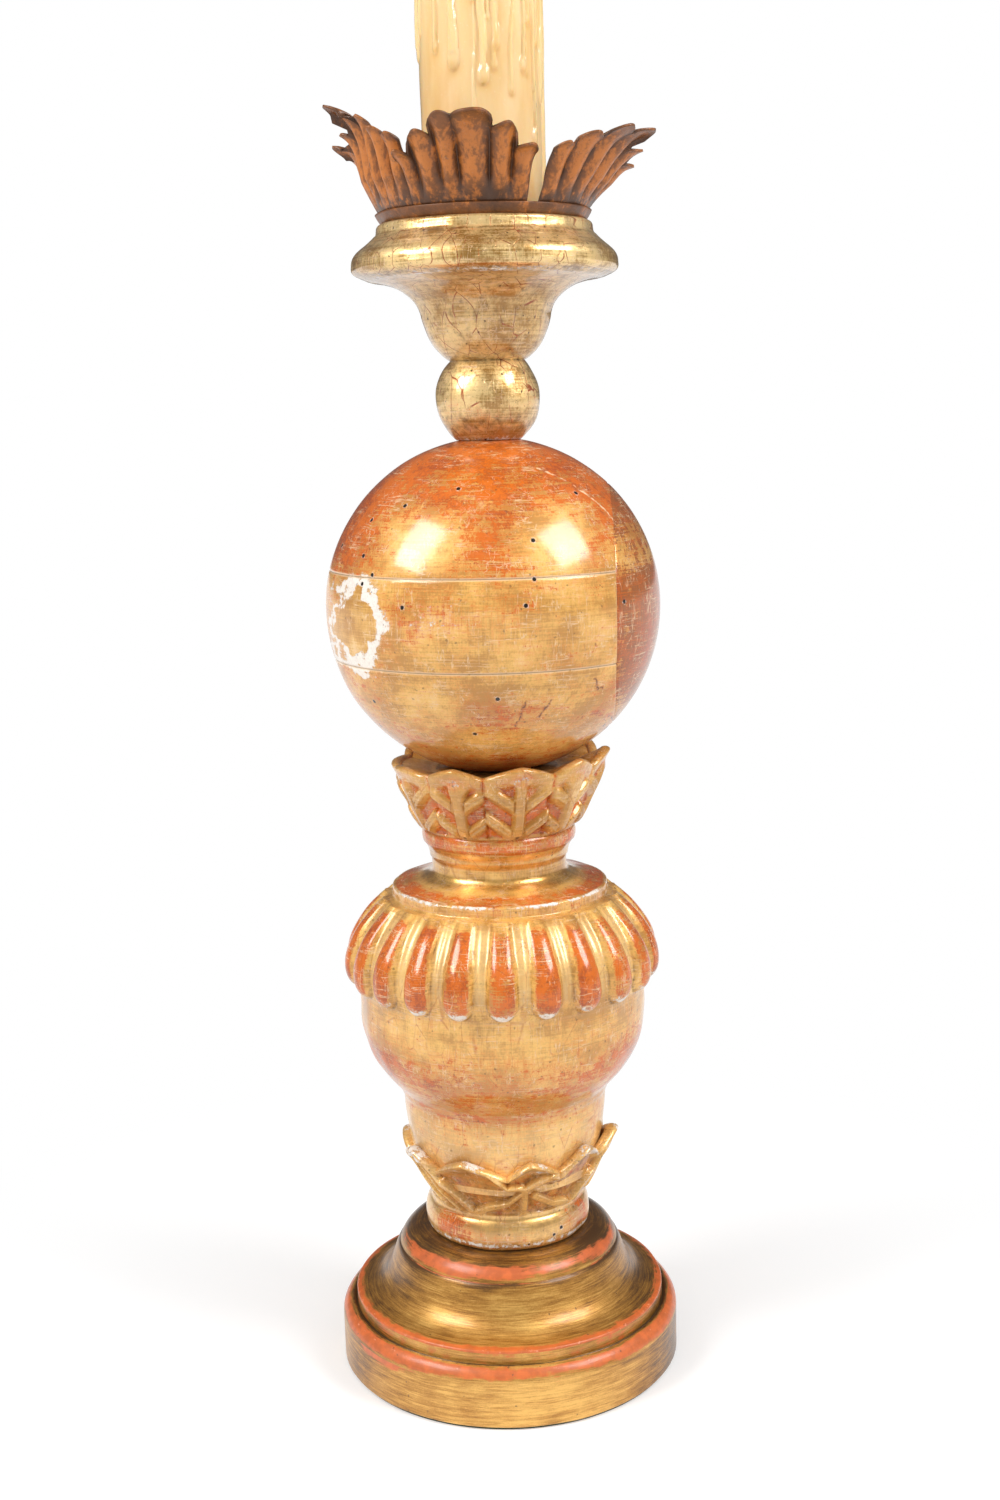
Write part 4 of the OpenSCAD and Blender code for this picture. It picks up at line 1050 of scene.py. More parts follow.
class CANDLESTICK_OT_baluster(bpy.types.Operator):
    """Turn and carve the baluster: ring, lower leaves, vase, gadroons, shoulder, neck, bead and calyx"""
    bl_idname = "candlestick.baluster"
    bl_label = "Baluster"

    def execute(self, context):
        s = in_millimetres(context.scene.candlestick_baluster)
        angle = directions(440)[None, :]
        turn = degrees_from_front(angle)
        front = 0.5 + 0.5 * np.cos(angle - FRONT)
        ring = s.ring_width / 2
        waist = s.waist_width / 2
        stem = s.stem_width / 2
        belly = s.belly_width / 2
        shoulder = s.shoulder_width / 2
        neck = s.neck_width / 2
        bead = s.bead_width / 2
        z_waist = s.bottom + s.ring
        z_stem = z_waist + s.stem
        z_belly = z_stem + s.belly
        z_gadroon = z_belly + s.gadroon
        z_shoulder = z_gadroon + s.shoulder
        z_bead = z_shoulder + s.neck
        z_calyx = z_bead + s.bead
        z_seat = z_calyx + s.calyx
        rows = []

        def add(radius, height, bole=0.0, gesso=0.0, dirt=0.0, dull=0.0, bright=0.0, fair=0.0):
            """Keeps rows of the surface, and how worn, chipped, soiled and shaded, dull, bright and pale they
            are.
            """
            shape = np.broadcast_shapes(radius.shape, angle.shape)
            kept = (radius, height, bole, gesso, dirt, dull, bright, fair)
            rows.append([np.broadcast_to(values, shape) for values in kept])

        def add_outline(points, **wear):
            """Keeps the rows of a plain turned stretch."""
            add(points[:, :1], points[:, 1:], **wear)

        # Ring
        add_outline(line((ROD_HOLE, s.bottom), (ring - 2.2, s.bottom), 3), dirt=0.6)
        torus = bezier(
            (ring - 1.6, s.bottom + 0.3), (ring + 0.7, s.bottom + 0.22 * s.ring),
            (ring + 0.7, s.bottom + 0.70 * s.ring), (waist + 0.3, z_waist - 0.8), 17)
        up = np.linspace(0, 1, 18)[:, None]
        scuffed = 0.46 * hump(turn, -44, 18) + 0.32 * hump(turn, -2, 16) * (1 - smooth(up, 0.4, 0.7))
        scuffed = scuffed + 0.40 * hump(turn, 64, 16)
        scuff = 0.10 + scuffed * smooth(up, 0.15, 0.4) + 0.36 * hump(up, 0.14, 0.10)
        # The ring's top, in the crease under the leaves, is darkened: painted shade as well as soiling.
        add_outline(torus, bole=scuff, gesso=0.55 * hump(up, 0.22, 0.13), dirt=0.4 * hump(up, 1.0, 0.10),
                    bright=0.9 * smooth(up, 0.25, 0.45), fair=0.28 * smooth(up, 0.2, 0.5))

        # Lower leaves
        z_floor = z_waist + s.collar - 15
        radius, height, climb, carve, across = carved_collar(
            angle, COLLAR_EDGES, COLLAR_RIBS, low=waist + 0.2, z_low=z_waist + 0.6,
            tip=s.collar_width / 2 - 2.0, z_tip=z_waist + s.collar, swell=0.8, notch=6.5, wall=3.6,
            floor=stem - 4.4, z_floor=z_floor, lifts=[-0.6, 0.4, 0.2, 1.6, 1.0, 0.6, -0.4, 1.0, -0.6, -1.0],
            leans=[0, 0.6, 0, 0.6, 1.8, 0, 0, 0.4, 0, -1.4], roll=1.7, strapped=True)
        behind = climb > 1.5
        tips = hump(climb, 1.0, 0.10)
        hollows = np.clip(-carve / 1.8, 0, 1)
        patchy = 0.5 + 0.5 * wobble(turned(radius, angle, height), 12, seed=8)
        # Darker, duller gold in the hollows between the straps, at the leaves' foot and behind them: painted
        # shade as well as soiling.
        add(radius, height,
            bole=np.where(behind, 0.1, 0.04 + 0.24 * hollows),
            gesso=(0.20 + 0.85 * patchy) * hump(climb, 0.95, 0.10) * (1 - 0.9 * np.abs(across)),
            dirt=np.where(behind, 0.35, 0.58 * hollows + 0.35 * hump(climb, 0.0, 0.05)),
            dull=np.where(behind, 0.3, (1 - tips) * 0.8 * hollows),
            bright=np.where(behind, 0.1, 0.15),
            fair=np.where(behind, 0.1, 0.22 * (1 - hollows)))

        # Vase, from behind the leaves up to the gadroons
        wall = np.concatenate([
            bezier((waist + 4.6, z_floor + 1.5), (stem - 3.4, z_floor + 6),
                   (stem - 1.5, z_waist + 0.55 * s.stem), (stem - 0.6, z_waist + 0.75 * s.stem), 9),
            line((stem - 0.3, z_stem - 8), (stem, z_stem - 5), 1),
            bezier((stem + 0.1, z_stem - 3), (stem + 0.2, z_stem), (stem + 0.6, z_stem + 1),
                   (stem + 1.1, z_stem + 1.7), 4),
            bezier((stem + 1.5, z_stem + 2.6), (stem + 0.12 * (belly - stem), z_stem + 0.18 * s.belly),
                   (belly, z_stem + 0.32 * s.belly), (belly, z_stem + 0.87 * s.belly), 22),
            line((belly, z_belly - 4), (belly, z_belly + 0.11 * s.gadroon), 4),
        ])
        z = wall[:, 1:]
        rub = 0.16 + 0.26 * hump(z, z_stem + 14, 11) + 0.26 * hump(z, z_stem + 1.5, 3.0) * hump(turn, -15, 45)
        rub = rub + 0.20 * hump(z, z_stem + 24, 7) * (0.4 + 1.2 * hump(np.abs(turn), 60, 22))
        rub = rub + 0.22 * smooth(np.abs(turn), 45, 85) * hump(z, z_stem + 18, 16)
        # Darker low down behind the leaves and in the crease above the stem's fillet: painted shade as well
        # as soiling.
        add_outline(wall, bole=rub,
                    dirt=0.4 * smooth(-z, -z_floor - 12, -z_floor) + 0.10 * hump(z, z_stem + 1, 2),
                    dull=0.75 * hump(z, z_stem + 4.5, 4.5),
                    fair=0.08 + 0.24 * smooth(-z, -z_stem - 1, 5 - z_stem))

        # Gadroons
        radius, height, along, end, reach, number = gadroon_rows(s, angle, z_belly)
        random = np.random.default_rng(11)
        red = random.uniform(0.46, 0.76, s.gadroons)[number]
        chip = random.uniform(0.40, 0.90, s.gadroons)[number]
        face = 1 - smooth(reach, 0.70, 0.92)
        # A dark line along each lobe's edge is painted shade that makes the lobes read as round.
        crease = hump(reach, 1.04, 0.13)
        flute = smooth(reach, 1.05, 1.25) * (1 - smooth(end, 0.0, 0.5))
        add(radius, height,
            bole=0.08 + red * face * (1 - smooth(along, 0.84, 0.96)),
            gesso=chip * smooth(end, 0.30, 0.75) * (1 - smooth(reach, 0.90, 1.0)) * front**0.5,
            dirt=0.62 * crease * (1 - smooth(along, 0.7, 0.95)),
            fair=0.50 * flute * (1 - smooth(along, 0.85, 1.0)))

        # Shoulder, neck and bead
        disc = np.array([(shoulder + 2.2, z_gadroon - 0.6), (shoulder + 0.9, z_gadroon - 0.3),
                         (shoulder + 0.2, z_gadroon + 0.2)])
        # The shoulder's underside is darkened: painted shade as well as soiling.
        add_outline(disc, bole=0.15, dirt=0.25)
        rim = np.concatenate([
            line((shoulder, z_gadroon + 0.6), (shoulder, z_shoulder - 0.9), 3),
            arc((shoulder - 0.8, z_shoulder - 0.8), 0.8, 15, 80, 3)])
        uneven = 0.18 * wobble(turned(shoulder, angle, rim[:, 1:]), 14, seed=9)
        upper_edge = smooth(rim[:, 1:], z_gadroon + 2.6, z_shoulder - 0.4)
        add_outline(rim, bole=0.2, gesso=0.02 + uneven + 0.42 * upper_edge)
        scotia = bezier(
            (neck + 0.90 * (shoulder - neck), z_shoulder + 0.15),
            (neck + 0.25 * (shoulder - neck), z_shoulder + 2.2),
            (neck, z_shoulder + 4), (neck, z_shoulder + 0.42 * s.neck), 15)
        out = (scotia[:, :1] - neck) / (shoulder - neck)
        add_outline(scotia, bole=0.08 + 0.50 * smooth(out, 0.30, 0.6), gesso=0.24 * smooth(out, 0.80, 0.95),
                    bright=1 - smooth(out, 0.15, 0.4))
        throat = np.concatenate([
            line((neck, z_shoulder + 0.46 * s.neck), (neck, z_bead - 0.37 * s.neck), 2),
            bezier((neck + 0.6, z_bead - 0.33 * s.neck), (neck + 0.8, z_bead - 0.12 * s.neck),
                   (bead - 1.4, z_bead - 0.06 * s.neck), (bead - 0.7, z_bead), 8)])
        lift = np.linspace(0, 1, len(throat))[:, None]
        add_outline(throat, bole=0.05 + 0.55 * smooth(lift, 0.72, 1.0), dirt=0.18 * hump(lift, 0.25, 0.12),
                    bright=1 - smooth(lift, 0.6, 0.9))
        torus = bezier((bead - 0.3, z_bead + 0.3), (bead + 0.4, z_bead + 0.35 * s.bead),
                       (bead + 0.2, z_bead + 0.75 * s.bead), (bead - 0.6, z_calyx - 0.6), 9)
        lift = np.linspace(0, 1, 10)[:, None]
        # The bead's top, under the calyx, is darkened: painted shade as well as soiling.
        add_outline(torus, bole=0.50, gesso=0.30 * hump(lift, 0.55, 0.35), dirt=0.30 * hump(lift, 1.0, 0.15))

        # Calyx
        radius, height, climb, carve, across = carved_collar(
            angle, CALYX_EDGES, CALYX_RIBS, low=bead - 0.4, z_low=z_calyx - 0.4, tip=s.calyx_width / 2 - 1.6,
            z_tip=z_seat + s.calyx_rise, swell=0.76, notch=4.2, wall=3.4, floor=bead - 4.5,
            z_floor=z_seat - 1.5, lifts=[-2.6, -0.6, 0, 0.6, 1.0, 0, -1.0, -0.4, 0.4, -3.6],
            leans=[-1.0, -0.6, 0, 0.4, 1.2, 0, 0, 0, 0.6, -1.8], roll=0.8, strapped=False)
        behind = climb > 1.5
        hollows = np.clip(-carve, 0, 1.0)
        drilled = hump(across, 0.0, 0.09) * hump(climb, 0.03, 0.035)
        under = hump(climb, 0.88, 0.10) * (1 - np.abs(across))
        # Darker in the hollows and at the drilled holes at the leaves' foot: painted shade as well as
        # soiling.
        add(radius, height,
            bole=np.where(behind, 0.0, 0.06 + 0.56 * hollows + 0.38 * under),
            gesso=0.46 * under * front,
            dirt=np.where(behind, 0.05, 0.34 * hollows + 1.2 * drilled),
            dull=np.where(behind, 0.6, 0.65 * (1 - 0.6 * hollows)))

        # Seat of the ball and hole for the rod
        add_outline(line((bead - 7, z_seat - 0.5), (ROD_HOLE, z_seat), 3), dirt=0.8)
        add_outline(line((ROD_HOLE, z_seat - 4), (ROD_HOLE, s.bottom + 4), 4), dirt=0.8)

        stacked = [np.concatenate(values) for values in zip(*rows)]
        points = roughen(turned(stacked[0], angle, stacked[1]), 0.16, 15, seed=7)
        masks = dict(zip(("bole", "gesso", "dirt", "dull", "bright", "fair"), stacked[2:]))
        colours = context.scene.candlestick_colours
        holes = worm_holes_in_ring(s)
        material = gilding("worn_gilding", colours, colours.gold, colours.old_gold, crackle=0.35, holes=holes)
        make_piece("carved_baluster", points, "stick", ["baluster"], material, masks=masks)
        return {"FINISHED"}


# Ball

def ball_centre(s):
    """Height of the ball's centre above the table."""
    return s.bottom + math.sqrt((s.width / 2)**2 - (s.seat_width / 2)**2)


# Marks on the ball where they are seen from the front, in millimetres to the right of and above its centre:
# beetle holes, the ends of the dark scars two by two, and the points of a pale rubbed line.
BALL_HOLES = [
    (-12.1, 44.9), (32.8, 42.3), (-32.7, 39.0), (-45.6, 33.8), (-57.3, 24.4), (-49.2, 20.3), (16.0, 24.6),
    (16.2, 9.8), (-50.0, 9.6), (-46.1, 12.9), (-35.0, 0.1), (12.7, -0.3), (50.5, 0.4), (1.0, -36.0),
    (-8.1, -49.3), (-46.7, -35.7), (-44.6, -45.1), (41.8, -47.0),
]
BALL_SCARS = [
    (12, -37), (7.5, -46.5), (21.8, -37), (16.3, -43.4), (39, -31.6), (51, -35.2), (38.5, -29), (40, -33),
    (44, -43), (46, -47),
]
BALL_RUB = [(18.5, 52), (35, 43), (43.5, 35.8), (49.6, 28), (50.5, 14)]

# The photograph's viewpoint: its distance from the ball's centre in millimetres, and its angle above it.
EYE_FAR = 704
EYE_RISE = math.radians(6.1)
TOWARD = np.array([0, -math.cos(EYE_RISE), math.sin(EYE_RISE)])
UPWARD = np.array([0, math.sin(EYE_RISE), math.cos(EYE_RISE)])


def ball_places(s, spots):
    """Points on the ball from how far right of and above its centre they are seen.

    The sight line from the viewpoint through each spot is followed to where it first meets the sphere."""
    spots = np.array(spots, float)
    eye = EYE_FAR * TOWARD
    way = spots[:, :1] * np.array([1, 0, 0]) + spots[:, 1:] * UPWARD - eye
    a = (way**2).sum(axis=1)
    b = way @ eye
    c = EYE_FAR**2 - (s.width / 2)**2
    share = (-b - np.sqrt(np.clip(b**2 - a * c, 0, None))) / a
    return eye + share[:, None] * way + np.array([0, 0, ball_centre(s)])


def ball_wear(s, points):
    """How worn, chipped, shaded and dull the ball is at given points, by where they are seen from the front.

    The clay shows most at the top, at the upper left and between the two highlights, and a patch of gesso
    with an island of old gold lies bare at the left. Light is painted in too: bright gold where the
    highlights fall, clay towards the outline as shade, and dark shade where the ball meets the calyx and the
    knop."""
    r = s.width / 2
    place = points - np.array([0, 0, ball_centre(s)])
    near = EYE_FAR / (EYE_FAR - place @ TOWARD)
    x = near * place[..., 0]
    y = near * (place @ UPWARD)
    z = place[..., 2]
    front = smooth(place @ TOWARD / r, -0.15, 0.12)
    upper = smooth(points[..., 2], s.seam_high - 0.4, s.seam_high + 0.4)
    lower = smooth(-points[..., 2], -s.seam_low - 0.4, -s.seam_low + 0.4)

    def blot(middle_x, middle_y, wide, high):
        """A soft spot on the front of the ball."""
        return front * hump(x, middle_x, wide) * hump(y, middle_y, high)

    bole = 0.14 + upper * (0.10 + 0.34 * smooth(z, 28, 48))
    red = 0.34 * blot(-52, 27, 11, 16) + 0.42 * blot(0, 20, 11, 12) + 0.25 * blot(45, 28, 10, 12)
    bole = bole + upper * red
    # Less clay at the two places where the softboxes' highlights fall, so bright gold shows there: a painted
    # highlight.
    bole = bole - upper * (0.30 * blot(-28, 24, 11, 12) + 0.30 * blot(23, 24, 12, 12))
    middle = (1 - upper) * (1 - lower)
    bole = bole + middle * (0.22 * blot(-30, -4, 22, 12) + 0.12 * blot(8, 2, 18, 10))
    # More clay towards the ball's outline as seen from the front: painted shade at its edge.
    bole = bole + 0.16 * front * smooth(np.hypot(x, y), 50, 63)
    red = 0.24 * blot(4, -43, 22, 8) + 0.15 * smooth(-z, 44, 58) + 0.15 * blot(44, -34, 9, 6)
    bole = bole + lower * red
    ragged = 0.15 * wobble(points, 11, seed=29) + 0.10 * wobble(points, 4.5, seed=30)
    patch = np.hypot((x + 52) / 9.6, (y + 7) / 15.6) + ragged
    island = np.hypot((x + 53.5) / 7.4, (y + 5.5) / 12.2) + ragged
    inland = smooth(-island, -1.12, -0.88)
    gesso = (0.85 - 0.30 * smooth(x, -47, -41)) * front * smooth(-patch, -1.5, -0.85) * (1 - inland)
    gesso = gesso + 0.34 * blot(-24, -5, 16, 9) + 0.30 * blot(-7, 38, 9, 6) + 0.28 * blot(39, 48, 9, 5)
    # Dark low on the ball where it sits in the calyx and on top under the cup's knop: painted shade between
    # the parts.
    dirt = 0.30 * smooth(-z, 52, 60) + 0.55 * smooth(z, 58, 61)
    dull = 0.15 + 0.20 * middle * smooth(x, 0, 30) + 0.45 * front * inland
    return {"bole": bole - 0.3 * front * inland, "gesso": gesso, "dirt": dirt, "dull": np.clip(dull, 0, 1)}


def ball_layer(s, low, high, rows):
    """A grid over one glued layer: out along its lower face, up the sphere and in along its upper face.

    Each loop runs round the sphere from one edge of the side block's glue face to the other, then straight
    back across that face. Grooves follow the seams."""
    r = s.width / 2
    centre = ball_centre(s)
    ends = np.arcsin(np.clip((np.array([low, high]) - centre) / r, -1, 1))
    share = 0.5 - 0.5 * np.cos(np.linspace(0, math.pi, rows))
    latitude = (ends[0] + (ends[1] - ends[0]) * share)[:, None]
    height = centre + r * np.sin(latitude)
    open_seam = hump(height, s.seam_low, 0.45) + hump(height, s.seam_high, 0.45)
    ring = r * np.cos(latitude)
    cheek = np.arccos(np.clip(s.cheek / ring, -1, 1))
    round_share = np.linspace(0, 1, 300)[None, :]
    angle = cheek + round_share * 2 * (math.pi - cheek)
    cut = ring - s.groove * open_seam - s.groove * hump(ring * (angle - cheek), 0, 0.45) * (cheek > 0)
    sphere = turned(cut, angle, height)
    across = np.linspace(-1, 1, 20)[None, 1:-1]
    glue_y = ring * np.sin(cheek) * across
    glue_x = np.minimum(s.cheek, ring) + 0 * glue_y
    glue = np.stack([glue_x, glue_y, np.broadcast_to(height, glue_x.shape)], axis=-1)
    side = np.concatenate([sphere, glue], axis=1)
    shrink = np.linspace(0, 1, 7)[:-1, None, None]
    lower = side[:1] * np.array([1, 1, 0]) * shrink + side[:1] * np.array([0, 0, 1])
    upper = side[-1:] * np.array([1, 1, 0]) * shrink[::-1] + side[-1:] * np.array([0, 0, 1])
    return np.concatenate([lower, side, upper])


def ball_cheek(s):
    """A grid over the side block: out along its flat glue face and round the sphere's cap to its pole."""
    r = s.width / 2
    centre = ball_centre(s)
    widest = math.acos(s.cheek / r)
    around = np.linspace(0, 2 * math.pi, 220, endpoint=False)[None, :]
    tilt = np.linspace(widest, 0, 56)[:, None]
    cut = r - s.groove * hump(r * (widest - tilt), 0, 0.45)
    aside = cut * np.sin(tilt)
    cap = np.stack(np.broadcast_arrays(
        cut * np.cos(tilt), aside * np.cos(around), centre + aside * np.sin(around)), axis=-1)
    shrink = np.linspace(0, 1, 7)[:-1, None, None]
    middle = np.array([s.cheek, 0, centre])
    face = middle + (cap[:1] - middle) * shrink * np.array([0, 1, 1])
    face[..., 0] = cap[0, 0, 0]
    return np.concatenate([face, cap])


class CANDLESTICK_OT_ball(bpy.types.Operator):
    """Glue up the ball: three layers and a side block, with open seams, wormholes and worn gilding"""
    bl_idname = "candlestick.ball"
    bl_label = "Ball"

    def execute(self, context):
        s = in_millimetres(context.scene.candlestick_ball)
        colours = context.scene.candlestick_colours
        holes = ball_places(s, BALL_HOLES)
        scars = ball_places(s, BALL_SCARS).reshape(-1, 2, 3)
        curve = ball_places(s, BALL_RUB)
        rubs = np.stack([curve[:-1], curve[1:]], axis=1)
        gilt = gilding(
            "ball_gilding", colours, colours.gold, colours.old_gold, strokes=1.25, crackle=0.12, shine=0.12,
            holes=holes, scars=scars, rubs=rubs, seams=(s.seam_low, s.seam_high))
        layers = [
            ("ball_lower_layer", "ball_lower_block", s.bottom, s.seam_low, 46),
            ("ball_middle_layer", "ball_middle_block", s.seam_low, s.seam_high, 46),
            ("ball_upper_layer", "ball_upper_block", s.seam_high, s.top, 60),
        ]
        for name, node, low, high, rows in layers:
            points = roughen(ball_layer(s, low, high, rows), 0.12, 22, seed=19)
            make_piece(name, points, "stick", [node], gilt, masks=ball_wear(s, points))
        points = ball_cheek(s)
        masks = ball_wear(s, points)
        height = points[..., 2]
        below = smooth(-height, -s.seam_high - 3, -s.seam_high + 3)
        foot = smooth(-height, -s.seam_low - 8, -s.seam_low + 30)
        masks["bole"] = masks["bole"] + below * (0.52 - 0.46 * foot)
        clay = gilding(
            "bare_bole", colours, colours.gold, colours.old_gold, clay=colours.side_clay, strokes=1.1,
            holes=holes)
        make_piece("ball_side_cheek", points, "stick", ["ball_side_block"], clay, masks=masks)
        return {"FINISHED"}


class CANDLESTICK_OT_cup(bpy.types.Operator):
    """Turn the cup: knop, bowl and rim moulding, in dull dirty gold with fine cracks and shade painted under
    the rim, on the bowl and in the creases
    """
    bl_idname = "candlestick.cup"
    bl_label = "Cup"

    def execute(self, context):
        s = in_millimetres(context.scene.candlestick_cup)
        angle = directions(320)[None, :]
        radius, height, parts = profile_rows(cup_profile(s))
        points = roughen(turned(radius, angle, height), 0.22, 13, seed=23)
        knop = part_share(parts, "knop")
        soffit = (parts == "soffit")[:, None]
        bowl = (parts == "bowl")[:, None]
        ogee = part_share(parts, "ogee")
        bole = 0.02 + 0.12 * hump(knop, 0.35, 0.20) + 0.1 * hump(ogee, 0.9, 0.2)
        gesso = np.maximum(0.42 * soffit, 0.55 * hump(knop, 0.0, 0.08))
        # Darker under the rim, on the bowl that faces down and in the creases at the knop and under the lip:
        # painted shade as well as soiling.
        dirt = 0.25 + 0.35 * soffit + 0.45 * hump(knop, 1.0, 0.06) + 0.35 * hump(ogee, 1.0, 0.08)
        dirt = dirt + 0.34 * hump(knop, 0.24, 0.18) + 0.22 * bowl
        dirt = np.maximum(dirt, 0.8 * np.isin(parts, ("recess", "under"))[:, None])
        # The bowl's duller, browner gold is painted shade too.
        dull = 0.40 * bowl + 0.6 * hump(knop, 0.0, 0.3)
        bright = 0.45 * ~bowl - 0.45 * hump(knop, 0.0, 0.35)
        masks = {"bole": bole, "gesso": gesso, "dirt": dirt, "dull": dull, "bright": bright}
        colours = context.scene.candlestick_colours
        material = gilding(
            "dull_gilding", colours, colours.silver_gold, colours.brown_gold, shine=0.44, strokes=1.3,
            speckle=0.45, crackle=0.9, gloss=0.10)
        make_piece("turned_cup", points, "stick", ["cup"], material, masks=masks)
        return {"FINISHED"}


# Drip pan

# Each leaf's place round the pan in degrees, its length as a share of the full one, how many degrees it leans
# out and how much more at its far side; then each lobe's width, length and outward curl in degrees.
LEAVES = {
    "front": (-98, 0.855, -2, 0, [
        (0.13, 0.60, 8), (0.185, 0.78, 5), (0.14, 0.97, 6), (0.225, 1.0, 8), (0.165, 0.84, 5),
        (0.155, 0.63, 8)]),
    "right": (-28, 0.90, 8, 6, [
        (0.15, 0.62, 3), (0.17, 0.78, 5), (0.17, 0.92, 7), (0.17, 1.0, 9), (0.17, 0.76, 6), (0.17, 0.61, 6)]),
    "back": (92, 0.90, -2, 1, [
        (0.14, 0.62, 6), (0.145, 0.78, 5), (0.14, 0.93, 5), (0.15, 1.0, 7), (0.14, 0.90, 5), (0.145, 0.78, 4),
        (0.14, 0.62, 6)]),
    "left": (-161, 1.01, -19, 0, [
        (0.14, 0.60, 12), (0.14, 0.69, 18), (0.14, 0.75, 9), (0.15, 1.0, 17), (0.14, 0.83, 6),
        (0.145, 0.72, 6), (0.145, 0.64, 6)]),
}


def tole_leaf(s, turn, size, lean, twist, lobes):
    """A grid over one leaf of the pan: across from -1 to 1, along from a tab inside the rim to its lobes.

    A lobe's edge falls away from its top as a circle does towards the leaf's side and hardly towards its
    middle, and its sheet bulges between sharp valleys. The lean grows with the square root of the distance
    along, and a lobe's curl with the sixth power."""
    columns = 241
    rim_tilt = 30
    tab_share = 0.4
    root = s.rim_width / 2 - s.sheet - 0.3
    z_root = s.bottom + s.rim
    half = s.leaf_width / s.rim_width
    across = np.linspace(-1, 1, columns)[None, :]
    share = np.linspace(0, 1, 44)[:, None]
    widths, lengths, curls = np.array(lobes).T
    ends = 2 * np.concatenate([[0], np.cumsum(widths)]) / widths.sum() - 1
    number = np.clip(np.searchsorted(ends, across, side="right") - 1, 0, len(lobes) - 1)
    inside = 2 * (across - ends[number]) / (ends[number + 1] - ends[number]) - 1
    longest = np.argmax(lengths)
    outer = np.where(number == longest, np.abs(inside), inside * np.sign(number - longest))
    fall = 0.085 * (1 - np.sqrt(1 - np.clip(outer, 0, 0.995)**2)) + 0.035 * np.clip(-outer, 0, 1)**2
    crimp = wobble(np.stack(np.broadcast_arrays(22 * across, turn, 0), axis=-1), 5, seed=43)
    reach = lengths[number] - fall + 0.014 * crimp
    even = np.pad(reach, ((0, 0), (1, 1)), mode="edge")
    reach = (even[:, :-2] + 2 * reach + even[:, 2:]) / 4
    along = share * reach
    tilt = np.radians(rim_tilt + (lean + twist * across) * np.sqrt(along) + curls[number] * share**6)
    bulge = 1 - np.abs(inside)**1.9
    rib = s.rib * (2.2 * bulge - 1.1) * np.minimum(1, 6 * along**1.5)
    ripple = wobble(np.stack(np.broadcast_arrays(28 * across, 40 * along, turn), axis=-1), 17, seed=41)
    out = along * size * np.sin(tilt) + rib + 1.1 * ripple * along**2
    up = along * size * np.cos(tilt)
    rows_out = np.concatenate([np.full((1, columns), -tab_share * (s.rim_width - s.flat_width) / 2), out])
    rows_up = np.concatenate([np.full((1, columns), -tab_share * (s.rim - s.sheet)), up])
    points = turned(root + rows_out, turn + across * half, z_root + rows_up)
    pad = ((1, 0), (0, 0))
    masks = {
        # Rib darkens the valleys as painted shade; glow brightens the crests as a painted highlight.
        "rib": np.pad(0.15 + 0.85 * bulge * smooth(along, 0.02, 0.25), pad),
        "glow": np.pad(0.16 + 0.68 * bulge * hump(along, 0.48, 0.40), pad),
        "edge": np.pad(np.maximum(smooth(share, 0.86, 1.0), 0.6 * smooth(np.abs(across), 0.94, 1.0)), pad),
    }
    return points, masks


class CANDLESTICK_OT_drip_pan(bpy.types.Operator):
    """Dish the drip pan and cut, rib and bend its four leaves"""
    bl_idname = "candlestick.drip_pan"
    bl_label = "Drip pan"

    def execute(self, context):
        s = in_millimetres(context.scene.candlestick_pan)
        material = tole(context.scene.candlestick_colours)
        flat = s.flat_width / 2
        rim = s.rim_width / 2
        section = np.concatenate([
            line((LOOSE_HOLE, s.bottom), (flat - 0.6, s.bottom), 8),
            bezier((flat, s.bottom), (flat + 0.6, s.bottom + 0.2), (rim - 0.6, s.bottom + s.rim - 1.6),
                   (rim, s.bottom + s.rim - 0.4), 7),
            arc((rim - 0.45, s.bottom + s.rim - 0.45), 0.45, 20, 160, 4),
            line((rim - s.sheet, s.bottom + s.rim - 0.8), (flat - 0.6 * s.sheet, s.bottom + s.sheet), 6),
            line((flat - 2, s.bottom + s.sheet), (LOOSE_HOLE, s.bottom + s.sheet), 8),
        ])
        dish = roughen(turned(section[:, :1], directions(240)[None, :], section[:, 1:]), 0.12, 9, seed=31)
        deep = np.linspace(0, 1, len(section))[:, None]
        masks = {"rib": 0.40 + 0 * deep, "glow": 0.08 + 0 * deep, "edge": 0.3 * hump(deep, 0.55, 0.06)}
        make_piece("tole_dish", dish, "pan", ["pan_dish"], material, masks=masks)
        for side, (turn, size, lean, twist, lobes) in LEAVES.items():
            points, masks = tole_leaf(s, math.radians(turn), size * s.leaf, lean, twist, lobes)
            leaf = make_piece(
                f"tole_leaf_{side}", points, "pan", [f"leaf_{side}"], material,
                close_rows=False, close_columns=False, masks=masks, sharp=180)
            wall = leaf.modifiers.new("sheet", "SOLIDIFY")
            wall.thickness = s.sheet / 1000
            wall.offset = -1
        return {"FINISHED"}


# Candle

# The larger drips: degrees round the candle, with -90 at the front, the height of the end above the candle's
# underside, and the widths of the run and of the drop at its end.
DRIPS = [
    (-178, 59.5, 3.0, 3.6), (-135, 59, 2.4, 3.0), (-115, 54.5, 4.3, 4.9), (-96, 36, 1.3, 1.8),
    (-87, 48, 3.2, 3.9), (-75, 59, 2.2, 2.6), (-60, 43.7, 2.0, 2.7), (-46, 52, 2.6, 3.3),
    (-30, 28, 2.6, 3.4), (-14, 44, 3.0, 3.9), (-4, 16, 3.2, 4.4), (14, 66, 2.6, 3.4),
    (34, 40, 3.2, 4.2), (58, 72, 2.4, 3.0), (80, 52, 3.4, 4.4), (104, 30, 2.8, 3.8),
    (128, 64, 3.2, 4.2), (152, 44, 2.6, 3.4),
]
THIN_DRIPS = 26


